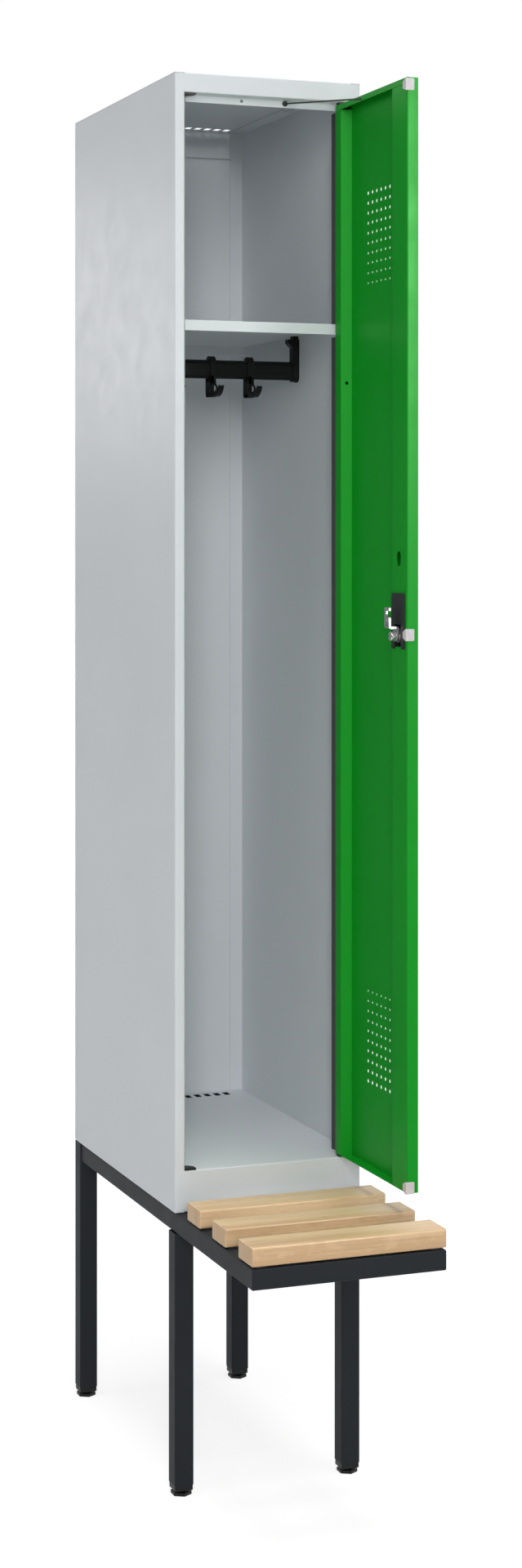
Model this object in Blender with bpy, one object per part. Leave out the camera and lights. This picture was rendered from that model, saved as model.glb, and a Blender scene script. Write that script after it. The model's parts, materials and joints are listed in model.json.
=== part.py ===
"""Sheet-metal locker on a tube stand, with a slatted bench in front of it.

Metres, +Z up. X runs across the front, Y from the front to the back. The stand's feet are on
Z = 0. The door stands open at a right angle. Places are given in the cabinet's own frame,
whose Y = 0 is the cabinet's front face; one empty moves it so that the whole object's
footprint is centred on the origin. The door's pieces are given in the shut door's frame,
whose origin is on the hinge axis, and one empty turns them open.
"""

import cmath
import math

import bmesh
import bpy
from mathutils import Matrix, Vector

# Main sizes
CABINET_WIDTH = 0.300
CABINET_DEPTH = 0.500
CABINET_HEIGHT = 1.700
STAND_HEIGHT = 0.424
BENCH_REACH = 0.309

# Sheet metal
SHEET = 0.001
BEND = 0.001
BEND_STEPS = 3
FIT = 0.0003
OVERRUN = 0.003

# Front frame of the cabinet
JAMB_FACE = 0.0155
STOP_INSET = 0.0215
STOP_FACE = 0.0085
RETURN_DEPTH = 0.0315
HEADER_FACE = 0.0295
HEADER_STOP = 0.0105
THRESHOLD_FACE = 0.0615
REAR_FLANGE = 0.023
TOP_FLANGE = 0.028
ROOF_REAR_FOLD = 0.0455
FLOOR_REAR_FOLD = 0.040
FOLD_LAP = 0.018

# Vent slots in roof and floor
SLOT_COUNT = 14
SLOT_PITCH = 0.0173
SLOT_WIDTH = 0.011
SLOT_DEPTH = 0.019
SLOT_FROM_REAR = 0.0235

# Punched joint of the top flange
PUNCH_LENGTH = 0.030
PUNCH_WIDTH = 0.0025
PUNCH_PITCH = 0.008
PUNCH_COUNT = 2

# Shelf
SHELF_FROM_TOP = 0.3665
SHELF_FOLD = 0.016
SHELF_FRONT_GAP = 0.002
SHELF_REAR_GAP = 0.020

# Coat rail, its brackets and the hooks that slide on it
RAIL_BELOW_SHELF = 0.0575
RAIL_THICK = 0.015
RAIL_TALL = 0.030
RAIL_GROOVE_WIDTH = 0.004
RAIL_GROOVE_DEPTH = 0.0008
RAIL_GROOVE_RISE = 0.0045
RAIL_FIT = 0.0004
BRACKET_PLATE = 0.0027
BRACKET_WIDTH = 0.020
COLLAR_LENGTH = 0.0078
COLLAR_WALL = 0.002
ARM_THICK = 0.0115
ARM_DEPTH = 0.014
PAD_REACH = 0.0075
PAD_HEIGHT = 0.006
NUB_WIDTH = 0.008
NUB_INSET = 0.0014
NUB_HEIGHT = 0.0055
HOOK_PITCH = 0.065
HOOK_WIDTH = 0.010
HOOK_WALL = 0.0026
HOOK_CROWN = 0.0056
HOOK_BODY_DEPTH = 0.022
HOOK_DROP = 0.045
EYELET_RADIUS = 0.004
EYELET_WALL = 0.0038
EYELET_REACH = 0.015
EYELET_DROP = 0.032
HORN_RADIUS = 0.0265
HORN_THICK = 0.0052
HORN_CENTRE_REACH = 0.024
HORN_FIRST_DEGREES = 208
HORN_LAST_DEGREES = 305

# Door leaf
DOOR_THICKNESS = 0.0179
DOOR_INSET = 0.0005
HINGE_GAP = 0.0023
FREE_GAP = 0.0046
DOOR_TOP_GAP = 0.005
DOOR_BOTTOM_GAP = 0.0045
HINGE_INSET = 0.00825
HINGE_DEPTH = 0.00605
DOOR_OPEN_DEGREES = 90
DOOR_LIP = 0.008
HINGE_BOX = 0.0219
HINGE_BOX_SLOPE = 0.0047
LOCK_BOX = 0.0532
SEAM = 0.0005
WALL_HOLE_RADIUS = 0.0025
WALL_HOLE_FROM_TOP = 0.4245

# Perforated fields of the door
HOLE_COLUMNS = 6
HOLE_ROWS = 10
HOLE_COLUMN_PITCH = 0.01566
HOLE_ROW_PITCH = 0.015
HOLE_LARGE = 0.006
HOLE_SMALL = 0.0038
HOLE_SIDES = 10
HOLES_FROM_FREE_EDGE = 0.0979
HOLES_FROM_TOP = 0.1432
HOLES_FROM_BOTTOM = 0.1253

# Pivots and their bushes
PIN_RADIUS = 0.003
PIN_COLLAR_RADIUS = 0.0045
PIN_COLLAR = 0.0015
PIN_REACH = 0.0015
BUSH_LENGTH = 0.018
BUSH_DEPTH = 0.020
BUSH_THICK = 0.0024
BUSH_CUT = 0.0078

# Strips on the hinge side
STRIP_THICK = 0.0007
STRIP_DEPTH = 0.0285
STRIP_INSET = 0.002
STRIP_END_GAP = 0.0012
STRIP_SHELF_GAP = 0.0025

# Bumpers on the door's free edge
BUMPER_HEIGHT = 0.0172
BUMPER_EDGE_LEG = 0.0135
BUMPER_FACE_LEG = 0.0112
BUMPER_EDGE_THICK = 0.0011
BUMPER_CORNER = 0.003
BUMPER_TOP_DROP = 0.0017
BUMPER_OVERHANG = 0.0009
BUMPER_ABOVE_LOCK = 0.0024

# Lock
LOCK_FROM_EDGE = 0.0296
LOCK_RISE = 0.7975
HOUSING_WIDTH = 0.0437
HOUSING_HEIGHT = 0.0806
HOUSING_BELOW_AXIS = 0.0186
HOUSING_FROM_EDGE = 0.0071
HOUSING_COVER = 0.0017
HOUSING_RIM = 0.0034
HOUSING_BACK = 0.005
CHANNEL_WIDTH = 0.0225
CHANNEL_ABOVE_AXIS = 0.017
BARREL_RADIUS = 0.009
BARREL_FLANGE_RADIUS = 0.01125
BARREL_FLANGE = 0.0027
PLUG_RADIUS = 0.006
KEYWAY_WIDTH = 0.0012
KEYWAY_HEIGHT = 0.0075
KEYWAY_DEPTH = 0.006
CAM_SHEET = 0.0034
CAM_BEND = 0.0005
CAM_WIDTH = 0.016
CAM_CRANK = 0.0134
CAM_CRANK_RISE = 0.0105
CAM_LENGTH = 0.0415
CAM_NOSE = 0.0048
CAM_NOTCH_HEIGHT = 0.005
CAM_NOTCH_SLOPE = 0.005
CAM_NOTCH_DEPTH = 0.0102
NUT_RADIUS = 0.00675
NUT_LENGTH = 0.008
NUT_SLOT = 0.0022
STRIKE_CLEARANCE = 0.0031
VIEW_HOLE_WIDTH = 0.014
VIEW_HOLE_HEIGHT = 0.022
VIEW_HOLE_ABOVE_AXIS = 0.1115

# Door limiter
LIMITER_OFFSET = 0.0349
LIMITER_SPARE_OFFSET = 0.0354
LIMITER_BELOW_HEADER = 0.0045
BUTTON_RADIUS = 0.0041
BUTTON_HEAD = 0.0022
BUTTON_DOME = 0.0008
SHANK_RADIUS = 0.0023
SHANK_TAIL = 0.0015
SPARE_HOLE_RADIUS = 0.0025
CORD_RADIUS = 0.0011
CORD_POINT_GAP = 0.0055
CORD_HOLE_RADIUS = 0.0028
CORD_HOLE_FROM_HINGE = 0.09135
CORD_HOLE_BELOW_TOP = 0.0046
CORD_TAIL = 0.003

# Stand
TUBE = 0.030
TUBE_WALL = 0.0015
TUBE_CORNER = 0.0025
RAIL_SETBACK = 0.0026
PAD_THICK = 0.0012
PAD_WIDTH = 0.013
LEG_CAP = 0.0078
LEG_CAP_INSET = 0.0007
LEG_CAP_PLUG = 0.012
FOOT_RADIUS = 0.016
FOOT_PLATE = 0.0045
FOOT_NECK_RADIUS = 0.007
STUD_RADIUS = 0.004
STUD_REACH = 0.025
FOOT_SHOW = 0.0081

# Bench slats
SLAT_COUNT = 3
SLAT_DEPTH = 0.0545
SLAT_THICK = 0.027
SLAT_PITCH = 0.1045
SLAT_OVERHANG = 0.001
SLAT_CORNER = 0.003
SLAT_END_CORNER = 0.0008
SLAT_END_INSET = 0.0025
SLAT_PAD_THICK = 0.002

# Round shapes
ROUND_SIDES = 20
CORNER_STEPS = 3
SMOOTH_DEGREES = 35

# Places that follow from the sizes
HALF = CABINET_WIDTH / 2
BASE_Z = STAND_HEIGHT
TOP_Z = BASE_Z + CABINET_HEIGHT
REAR_Y = CABINET_DEPTH - SHEET - FIT
FRONT_Y = (BENCH_REACH + SLAT_OVERHANG - CABINET_DEPTH) / 2
OPENING_X = HALF - JAMB_FACE
STOP_X = OPENING_X - STOP_FACE
RETURN_Y = STOP_INSET + RETURN_DEPTH
FLOOR_Z = BASE_Z + THRESHOLD_FACE
HEADER_Z = TOP_Z - HEADER_FACE
WALL_X = HALF - SHEET
SHELF_Z = TOP_Z - SHELF_FROM_TOP
FRAME_TOP = STAND_HEIGHT - PAD_THICK - FIT
FRAME_LOW = FRAME_TOP - TUBE

HINGE_X = OPENING_X - HINGE_INSET
DOOR_LOW = FLOOR_Z + DOOR_BOTTOM_GAP
DOOR_HIGH = HEADER_Z - DOOR_TOP_GAP
EDGE_HINGE = HINGE_INSET - HINGE_GAP
EDGE_FREE = HINGE_INSET + FREE_GAP - 2 * OPENING_X
DOOR_OUT = DOOR_INSET - HINGE_DEPTH
DOOR_IN = DOOR_OUT + DOOR_THICKNESS
OUTER_BEND = BEND + SHEET

LOCK_X = EDGE_FREE + LOCK_FROM_EDGE
LOCK_Z = DOOR_LOW + LOCK_RISE
HOUSING_FACE = DOOR_IN + FIT + HOUSING_COVER
CAM_BACK = HOUSING_FACE + FIT
BUMPER_INNER = EDGE_FREE - FIT - BUMPER_EDGE_THICK + BUMPER_FACE_LEG

RAIL_Y = CABINET_DEPTH / 2
RAIL_Z = SHELF_Z - RAIL_BELOW_SHELF


# Scene and materials


def clear_scene():
    for thing in list(bpy.data.objects):
        bpy.data.objects.remove(thing, do_unlink=True)


def paint(name, colour, roughness, metallic=0.0):
    """A plain surface in one colour."""
    material = bpy.data.materials.new(name)
    material.use_nodes = True
    surface = material.node_tree.nodes["Principled BSDF"]
    surface.inputs["Base Color"].default_value = (*colour, 1.0)
    surface.inputs["Roughness"].default_value = roughness
    surface.inputs["Metallic"].default_value = metallic
    return material


def light_grey(name):
    return paint(name, (0.63, 0.66, 0.66), 0.45)


def green(name):
    return paint(name, (0.02, 0.36, 0.04), 0.4)


def anthracite(name):
    return paint(name, (0.035, 0.042, 0.048), 0.5)


def beech(name):
    return paint(name, (0.70, 0.46, 0.24), 0.45)


def black_plastic(name):
    return paint(name, (0.012, 0.013, 0.014), 0.5)


def pale_plastic(name):
    return paint(name, (0.62, 0.60, 0.60), 0.5)


def plated(name):
    return paint(name, (0.72, 0.73, 0.74), 0.25, 1.0)


def black_cord(name):
    return paint(name, (0.01, 0.01, 0.01), 0.7)


# Outlines, as lists of points in a plane


def rectangle(low, high):
    return [low, (high[0], low[1]), high, (low[0], high[1])]


def arc(centre, radius, first, last, steps):
    """Points from one angle to another, in degrees."""
    points = []
    for step in range(steps + 1):
        angle = math.radians(first + (last - first) * step / steps)
        points.append((centre[0] + radius * math.cos(angle), centre[1] + radius * math.sin(angle)))
    return points


def circle(centre, radius, sides=ROUND_SIDES):
    return arc(centre, radius, 0, 360, sides)[:-1]


def rounded(low, high, radius, steps=CORNER_STEPS):
    """A rectangle with round corners."""
    points = []
    turns = (
        (high[0] - radius, high[1] - radius, 0),
        (low[0] + radius, high[1] - radius, 90),
        (low[0] + radius, low[1] + radius, 180),
        (high[0] - radius, low[1] + radius, 270),
    )
    for across, up, first in turns:
        points += arc((across, up), radius, first, first + 90, steps)
    return points


def obround(centre, width, height, steps=ROUND_SIDES // 2):
    """A slot shape with round ends above and below."""
    radius = width / 2
    rise = height / 2 - radius
    top = arc((centre[0], centre[1] + rise), radius, 0, 180, steps)
    bottom = arc((centre[0], centre[1] - rise), radius, 180, 360, steps)
    return top + bottom


def folded(path, left=True, thick=SHEET, bend=BEND):
    """The section of a sheet folded along a path, on the path's left or right side."""
    corners = [complex(*point) for point in path]
    steps = [(b - a) / abs(b - a) for a, b in zip(corners, corners[1:])]
    across = 1j if left else -1j
    near = [corners[0]]
    far = [corners[0] + across * steps[0] * thick]
    for corner, before, after in zip(corners[1:-1], steps, steps[1:]):
        turn = cmath.phase(after / before)
        inside = (turn > 0) == left
        radius = bend + thick if inside else bend
        other = bend if inside else bend + thick
        towards = before * (across if inside else -across)
        centre = corner - before * radius * math.tan(abs(turn) / 2) + towards * radius
        for step in range(BEND_STEPS + 1):
            spoke = -towards * cmath.exp(1j * turn * step / BEND_STEPS)
            near.append(centre + spoke * radius)
            far.append(centre + spoke * other)
    near.append(corners[-1])
    far.append(corners[-1] + across * steps[-1] * thick)
    return [(point.real, point.imag) for point in near + far[::-1]]


# Solids

PLANES = {
    "xy": lambda a, b, c: (a, b, c),
    "yz": lambda a, b, c: (c, a, b),
    "xz": lambda a, b, c: (a, c, b),
}


def add_prism(shape, outline, low, high, plane):
    """Extrudes an outline of one plane between two heights above it."""
    place = PLANES[plane]
    rings = [[shape.verts.new(place(a, b, c)) for a, b in outline] for c in (low, high)]
    for ring in rings:
        shape.faces.new(ring)
    for index in range(len(outline)):
        after = (index + 1) % len(outline)
        shape.faces.new((rings[0][index], rings[0][after], rings[1][after], rings[1][index]))


def add_lathe(shape, profile, centre, plane, sides=ROUND_SIDES):
    """Turns a profile of (radius, height) points about an axis through a plane."""
    place = PLANES[plane]
    rings = []
    for radius, height in profile:
        points = circle(centre, radius, sides)
        rings.append([shape.verts.new(place(a, b, height)) for a, b in points])
    for lower, upper in zip(rings, rings[1:]):
        for index in range(sides):
            after = (index + 1) % sides
            shape.faces.new((lower[index], lower[after], upper[after], upper[index]))
    return rings


def finish(name, shape, material=None, parent=None):
    """Makes an object of a shape, with its faces pointing out."""
    bmesh.ops.recalc_face_normals(shape, faces=shape.faces)
    mesh = bpy.data.meshes.new(name)
    shape.to_mesh(mesh)
    shape.free()
    thing = bpy.data.objects.new(name, mesh)
    bpy.context.scene.collection.objects.link(thing)
    thing.parent = parent
    if material:
        mesh.materials.append(material(name + "_finish"))
    return thing


def prism(name, outline, low, high, plane, material=None, parent=None):
    shape = bmesh.new()
    add_prism(shape, outline, low, high, plane)
    return finish(name, shape, material, parent)


def block(low, high):
    """A plain box between two corners, used as a cutter or an added flange."""
    return prism("block", rectangle(low[:2], high[:2]), low[2], high[2], "xy")


def turned(name, profile, centre, plane, material=None, parent=None, sides=ROUND_SIDES):
    """A turned solid with flat ends."""
    shape = bmesh.new()
    rings = add_lathe(shape, profile, centre, plane, sides)
    shape.faces.new(rings[0])
    shape.faces.new(rings[-1])
    return finish(name, shape, material, parent)


def sleeve(name, profile, centre, plane, material=None, parent=None, sides=ROUND_SIDES):
    """A turned solid whose profile closes on itself, so that it has a bore."""
    shape = bmesh.new()
    rings = add_lathe(shape, profile, centre, plane, sides)
    for index in range(sides):
        after = (index + 1) % sides
        shape.faces.new((rings[-1][index], rings[-1][after], rings[0][after], rings[0][index]))
    return finish(name, shape, material, parent)


def hollow(name, outer, inner, low, high, plane, material=None, parent=None):
    """A tube between two outlines with as many points each."""
    shape = bmesh.new()
    place = PLANES[plane]
    loops = []
    for outline in (outer, inner):
        loops.append([[shape.verts.new(place(a, b, c)) for a, b in outline] for c in (low, high)])
    for index in range(len(outer)):
        after = (index + 1) % len(outer)
        for start, end in loops:
            shape.faces.new((start[index], start[after], end[after], end[index]))
        for outside, inside in zip(*loops):
            shape.faces.new((outside[index], outside[after], inside[after], inside[index]))
    return finish(name, shape, material, parent)


def combine(body, tools, operation):
    """Joins tools to a body, cuts them from it or keeps what they share with it."""
    for tool in tools:
        step = body.modifiers.new(operation.lower(), "BOOLEAN")
        step.operation = operation
        step.solver = "EXACT"
        step.object = tool
        tool.parent = body.parent
    bpy.context.view_layer.update()
    graph = bpy.context.evaluated_depsgraph_get()
    mesh = bpy.data.meshes.new_from_object(body.evaluated_get(graph))
    body.modifiers.clear()
    body.data = mesh
    for tool in tools:
        bpy.data.objects.remove(tool, do_unlink=True)
    return body


def weld_on(body, tools):
    return combine(body, tools, "UNION")


def carve(body, tools):
    return combine(body, tools, "DIFFERENCE")


def trim(body, tool):
    return combine(body, [tool], "INTERSECT")


def smooth(thing):
    thing.data.shade_smooth()
    thing.data.set_sharp_from_angle(angle=math.radians(SMOOTH_DEGREES))
    return thing


def mirrored(thing):
    """The same mesh on the other side of the middle plane."""
    thing.data.transform(Matrix.Scale(-1, 4, Vector((1, 0, 0))))
    thing.data.flip_normals()
    return thing


# Cabinet


def side_panel(name, side, root):
    """One sheet: rear flange, wall, jamb, door stop and the return behind it."""
    path = [
        (STOP_X, RETURN_Y),
        (STOP_X, STOP_INSET),
        (OPENING_X, STOP_INSET),
        (OPENING_X, 0),
        (HALF, 0),
        (HALF, REAR_Y),
        (HALF - REAR_FLANGE, REAR_Y),
    ]
    top = TOP_Z - SHEET - FIT
    panel = prism(name, folded(path), BASE_Z, top, "xy", light_grey, root)
    flange_front = RETURN_Y + OVERRUN
    flange_rear = REAR_Y - OUTER_BEND
    overlap = WALL_X + SHEET / 2
    flanges = [
        block((HALF - TOP_FLANGE, flange_front, low), (overlap, flange_rear, low + SHEET))
        for low in (BASE_Z, top - SHEET)
    ]
    weld_on(panel, flanges)
    carve(panel, [punched_joint(top)])
    if side < 0:
        mirrored(panel)
        carve(panel, [strike_slot()])
    return smooth(panel)


def punched_joint(top):
    """Short slots side by side in the top flange, halfway back."""
    shape = bmesh.new()
    middle = HALF - TOP_FLANGE / 2
    for index in range(PUNCH_COUNT):
        across = middle + (index - (PUNCH_COUNT - 1) / 2) * PUNCH_PITCH
        outline = rectangle(
            (across - PUNCH_WIDTH / 2, RAIL_Y - PUNCH_LENGTH / 2),
            (across + PUNCH_WIDTH / 2, RAIL_Y + PUNCH_LENGTH / 2),
        )
        add_prism(shape, outline, top - SHEET - OVERRUN, top + OVERRUN, "xy")
    return finish("punch", shape)


def strike_slot():
    """The opening in the left return that the cam's hook turns into."""
    reach = math.hypot(CAM_LENGTH, CAM_WIDTH / 2)
    to_return = STOP_X + HINGE_X + LOCK_X
    high = math.sqrt(reach**2 - to_return**2) + STRIKE_CLEARANCE
    low = CAM_WIDTH / 2 + STRIKE_CLEARANCE
    hook_face = HINGE_DEPTH + CAM_BACK + CAM_CRANK
    return block(
        (-STOP_X - SHEET - BEND, hook_face - STRIKE_CLEARANCE, LOCK_Z - low),
        (-STOP_X + BEND, hook_face + CAM_SHEET + STRIKE_CLEARANCE, LOCK_Z + high),
    )


def vent_slots(height):
    """A row of slots along the rear edge, cut down through a sheet."""
    shape = bmesh.new()
    rear = CABINET_DEPTH - SLOT_FROM_REAR + SLOT_DEPTH / 2
    for index in range(SLOT_COUNT):
        middle = (index - (SLOT_COUNT - 1) / 2) * SLOT_PITCH
        outline = rectangle(
            (middle - SLOT_WIDTH / 2, rear - SLOT_DEPTH), (middle + SLOT_WIDTH / 2, rear)
        )
        add_prism(shape, outline, height - SHEET - OVERRUN, height + OVERRUN, "xy")
    return finish("slots", shape)


def pivot_hole(height):
    profile = [(PIN_RADIUS + FIT, height - OVERRUN), (PIN_RADIUS + FIT, height + OVERRUN)]
    return turned("pivot_hole", profile, (HINGE_X, HINGE_DEPTH), "xy")


def jamb_notches(low, high):
    """Room for the jambs' stops and returns, on both sides."""
    edge = STOP_X - FIT
    front = STOP_INSET - FIT
    rear = RETURN_Y + FIT
    right = block((edge, front, low), (OPENING_X + OVERRUN, rear, high))
    left = block((-OPENING_X - OVERRUN, front, low), (-edge, rear, high))
    return [right, left]


def flange_hole(offset, radius):
    """A round hole through the header's stop, at one height for both limiter places."""
    profile = [(radius, STOP_INSET - OVERRUN), (radius, STOP_INSET + OVERRUN)]
    return turned("flange_hole", profile, (offset, HEADER_Z - LIMITER_BELOW_HEADER), "xz")


def roof(root):
    """One sheet: door stop, header, top and a rear fold, with wings over the side panels."""
    inner = OPENING_X - FIT
    rear_half = HALF - REAR_FLANGE - FIT
    notch = OUTER_BEND + SHEET
    outline = [
        (-HALF, 0),
        (-inner, 0),
        (-inner, notch),
        (inner, notch),
        (inner, 0),
        (HALF, 0),
        (HALF, REAR_Y),
        (rear_half, REAR_Y),
        (rear_half, REAR_Y - notch),
        (-rear_half, REAR_Y - notch),
        (-rear_half, REAR_Y),
        (-HALF, REAR_Y),
    ]
    header = [
        (STOP_INSET, HEADER_Z - HEADER_STOP),
        (STOP_INSET, HEADER_Z),
        (0, HEADER_Z),
        (0, TOP_Z),
        (FOLD_LAP, TOP_Z),
    ]
    rear = [
        (REAR_Y - FOLD_LAP, TOP_Z),
        (REAR_Y, TOP_Z),
        (REAR_Y, TOP_Z - ROOF_REAR_FOLD),
    ]
    sheet = prism("roof_header", outline, TOP_Z - SHEET, TOP_Z, "xy", light_grey, root)
    front = prism("front", folded(header, left=False), -inner, inner, "yz")
    back = prism("back", folded(rear, left=False), -rear_half, rear_half, "yz")
    weld_on(sheet, [front, back])
    below = HEADER_Z - HEADER_STOP - OVERRUN
    carve(sheet, jamb_notches(below, TOP_Z - SHEET - FIT))
    carve(sheet, [vent_slots(TOP_Z), pivot_hole(HEADER_Z)])
    carve(sheet, [flange_hole(LIMITER_OFFSET, SHANK_RADIUS + FIT)])
    carve(sheet, [flange_hole(-LIMITER_SPARE_OFFSET, SPARE_HOLE_RADIUS)])
    return smooth(sheet)


def floor(root):
    """One sheet: bottom flange, threshold, floor and a rear fold, cut round the jambs."""
    front_half = OPENING_X - FIT
    stop_half = STOP_X - FIT
    wall_half = WALL_X - FIT
    rear_half = HALF - REAR_FLANGE - FIT
    notch = OUTER_BEND + SHEET
    side_rear = REAR_Y - SHEET - FIT
    right = [
        (front_half, notch),
        (front_half, STOP_INSET - FIT),
        (stop_half, STOP_INSET - FIT),
        (stop_half, RETURN_Y + FIT),
        (wall_half, RETURN_Y + FIT),
        (wall_half, side_rear),
        (rear_half, side_rear),
        (rear_half, REAR_Y - notch),
    ]
    outline = right + [(-across, depth) for across, depth in reversed(right)]
    threshold = [(FOLD_LAP, BASE_Z), (0, BASE_Z), (0, FLOOR_Z), (FOLD_LAP, FLOOR_Z)]
    rear = [
        (REAR_Y - FOLD_LAP, FLOOR_Z),
        (REAR_Y, FLOOR_Z),
        (REAR_Y, FLOOR_Z - FLOOR_REAR_FOLD),
    ]
    sheet = prism("floor_threshold", outline, FLOOR_Z - SHEET, FLOOR_Z, "xy", light_grey, root)
    front = prism("front", folded(threshold, left=False), -front_half, front_half, "yz")
    back = prism("back", folded(rear, left=False), -rear_half, rear_half, "yz")
    weld_on(sheet, [front, back])
    carve(sheet, [vent_slots(FLOOR_Z), pivot_hole(FLOOR_Z)])
    return smooth(sheet)


def back_panel(root):
    half = HALF - SHEET / 2
    high = TOP_Z - OUTER_BEND
    outline = rectangle((-half, BASE_Z), (half, high))
    return prism("back_panel", outline, REAR_Y + FIT, CABINET_DEPTH, "xz", light_grey, root)


def shelf(root):
    """A sheet with a fold at the front and at the back, cut round the jambs' returns."""
    front = STOP_INSET + SHELF_FRONT_GAP
    rear = CABINET_DEPTH - SHEET - SHELF_REAR_GAP
    low = SHELF_Z - SHELF_FOLD
    half = WALL_X - FIT
    section = folded([(front, low), (front, SHELF_Z), (rear, SHELF_Z), (rear, low)], left=False)
    board = prism("shelf", section, -half, half, "yz", light_grey, root)
    edge = STOP_X - FIT
    beyond = half + OVERRUN
    notch_front = STOP_INSET - OVERRUN
    notch_rear = RETURN_Y + FIT
    under = low - OVERRUN
    over = SHELF_Z + OVERRUN
    right = block((edge, notch_front, under), (beyond, notch_rear, over))
    left = block((-beyond, notch_front, under), (-edge, notch_rear, over))
    carve(board, [right, left])
    return smooth(board)


def hinge_strips(root):
    """Sealing strips on the hinge side's return, one below the shelf and one above it."""
    outer = STOP_X - FIT
    front = STOP_INSET + STRIP_INSET
    outline = rectangle((outer - STRIP_THICK, front), (outer, front + STRIP_DEPTH))
    spans = {
        "hinge_strip_lower": (FLOOR_Z + STRIP_END_GAP, SHELF_Z - SHELF_FOLD - STRIP_SHELF_GAP),
        "hinge_strip_upper": (SHELF_Z + FIT, HEADER_Z - HEADER_STOP - FIT),
    }
    for name, (low, high) in spans.items():
        prism(name, outline, low, high, "xy", black_plastic, root)


def bush(name, side, low, pivot, root):
    """A bearing plate in a corner of the door recess, with a cut corner at the back."""
    outer = OPENING_X - FIT
    inner = outer - BUSH_LENGTH
    outline = [
        (inner, FIT),
        (outer, FIT),
        (outer, BUSH_DEPTH),
        (inner + BUSH_CUT, BUSH_DEPTH),
        (inner, BUSH_DEPTH - BUSH_CUT),
    ]
    plate = prism(name, outline, low, low + BUSH_THICK, "xy", black_plastic, root)
    if pivot:
        carve(plate, [pivot_hole(low)])
    if side < 0:
        mirrored(plate)
    return plate


def bushes(root):
    top = HEADER_Z - FIT - BUSH_THICK
    bottom = FLOOR_Z + FIT
    bush("bush_top_left", -1, top, False, root)
    bush("bush_top_right", 1, top, True, root)
    bush("bush_bottom_left", -1, bottom, False, root)
    bush("bush_bottom_right", 1, bottom, True, root)


# Coat rail


def coat_rail(root):
    """An oval bar with two grooves along each flat side."""
    half = WALL_X - FIT - BRACKET_PLATE - FIT
    bar = prism(
        "coat_rail", obround((RAIL_Y, RAIL_Z), RAIL_THICK, RAIL_TALL), -half, half, "yz",
        black_plastic, root,
    )
    grooves = []
    for face in (-1, 1):
        bed = RAIL_THICK / 2 - RAIL_GROOVE_DEPTH
        depths = sorted((RAIL_Y + face * bed, RAIL_Y + face * (bed + OVERRUN)))
        for rise in (-1, 1):
            middle = RAIL_Z + rise * RAIL_GROOVE_RISE
            grooves.append(
                block(
                    (-half - OVERRUN, depths[0], middle - RAIL_GROOVE_WIDTH / 2),
                    (half + OVERRUN, depths[1], middle + RAIL_GROOVE_WIDTH / 2),
                )
            )
    carve(bar, grooves)
    return smooth(bar)


def rail_bracket(name, side, root):
    """A moulded holder: wall plate, socket for the bar, and an arm up to the shelf."""
    wall = WALL_X - FIT
    plate_face = wall - BRACKET_PLATE
    socket_width = RAIL_THICK + 2 * RAIL_FIT
    socket_tall = RAIL_TALL + 2 * RAIL_FIT
    collar_width = socket_width + 2 * COLLAR_WALL
    collar_tall = socket_tall + 2 * COLLAR_WALL
    nub_top = SHELF_Z - SHEET - FIT
    pad_top = nub_top - NUB_HEIGHT
    plate_drop = collar_tall / 2 + COLLAR_WALL / 2
    plate_outline = arc(
        (RAIL_Y, RAIL_Z - plate_drop + BRACKET_WIDTH / 2), BRACKET_WIDTH / 2, 180, 360, ROUND_SIDES // 2
    )
    plate_outline += [(RAIL_Y + BRACKET_WIDTH / 2, pad_top), (RAIL_Y - BRACKET_WIDTH / 2, pad_top)]
    holder = prism(name, plate_outline, plate_face, wall, "yz", black_plastic, root)

    collar = prism(
        "collar",
        obround((RAIL_Y, RAIL_Z), collar_width, collar_tall),
        plate_face - COLLAR_LENGTH,
        plate_face + BRACKET_PLATE / 2,
        "yz",
    )
    arm_face = wall - ARM_THICK
    arm_low = RAIL_Z + socket_tall / 2 - COLLAR_WALL
    pad_low = pad_top - PAD_HEIGHT
    nub_inner = arm_face + NUB_INSET
    arm_outline = [
        (wall - BRACKET_PLATE / 2, arm_low),
        (arm_face, arm_low),
        (arm_face, pad_low - PAD_REACH),
        (arm_face - PAD_REACH, pad_low),
        (arm_face - PAD_REACH, pad_top),
        (nub_inner, pad_top),
        (nub_inner, nub_top),
        (nub_inner + NUB_WIDTH, nub_top),
        (wall - BRACKET_PLATE / 2, pad_top),
    ]
    arm_front = RAIL_Y - BRACKET_WIDTH / 2
    arm = prism("arm", arm_outline, arm_front, arm_front + ARM_DEPTH, "xz")
    weld_on(holder, [collar, arm])
    socket = prism(
        "socket",
        obround((RAIL_Y, RAIL_Z), socket_width, socket_tall),
        plate_face - COLLAR_LENGTH - OVERRUN,
        plate_face,
        "yz",
    )
    carve(holder, [socket])
    if side < 0:
        mirrored(holder)
    return smooth(holder)


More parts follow.
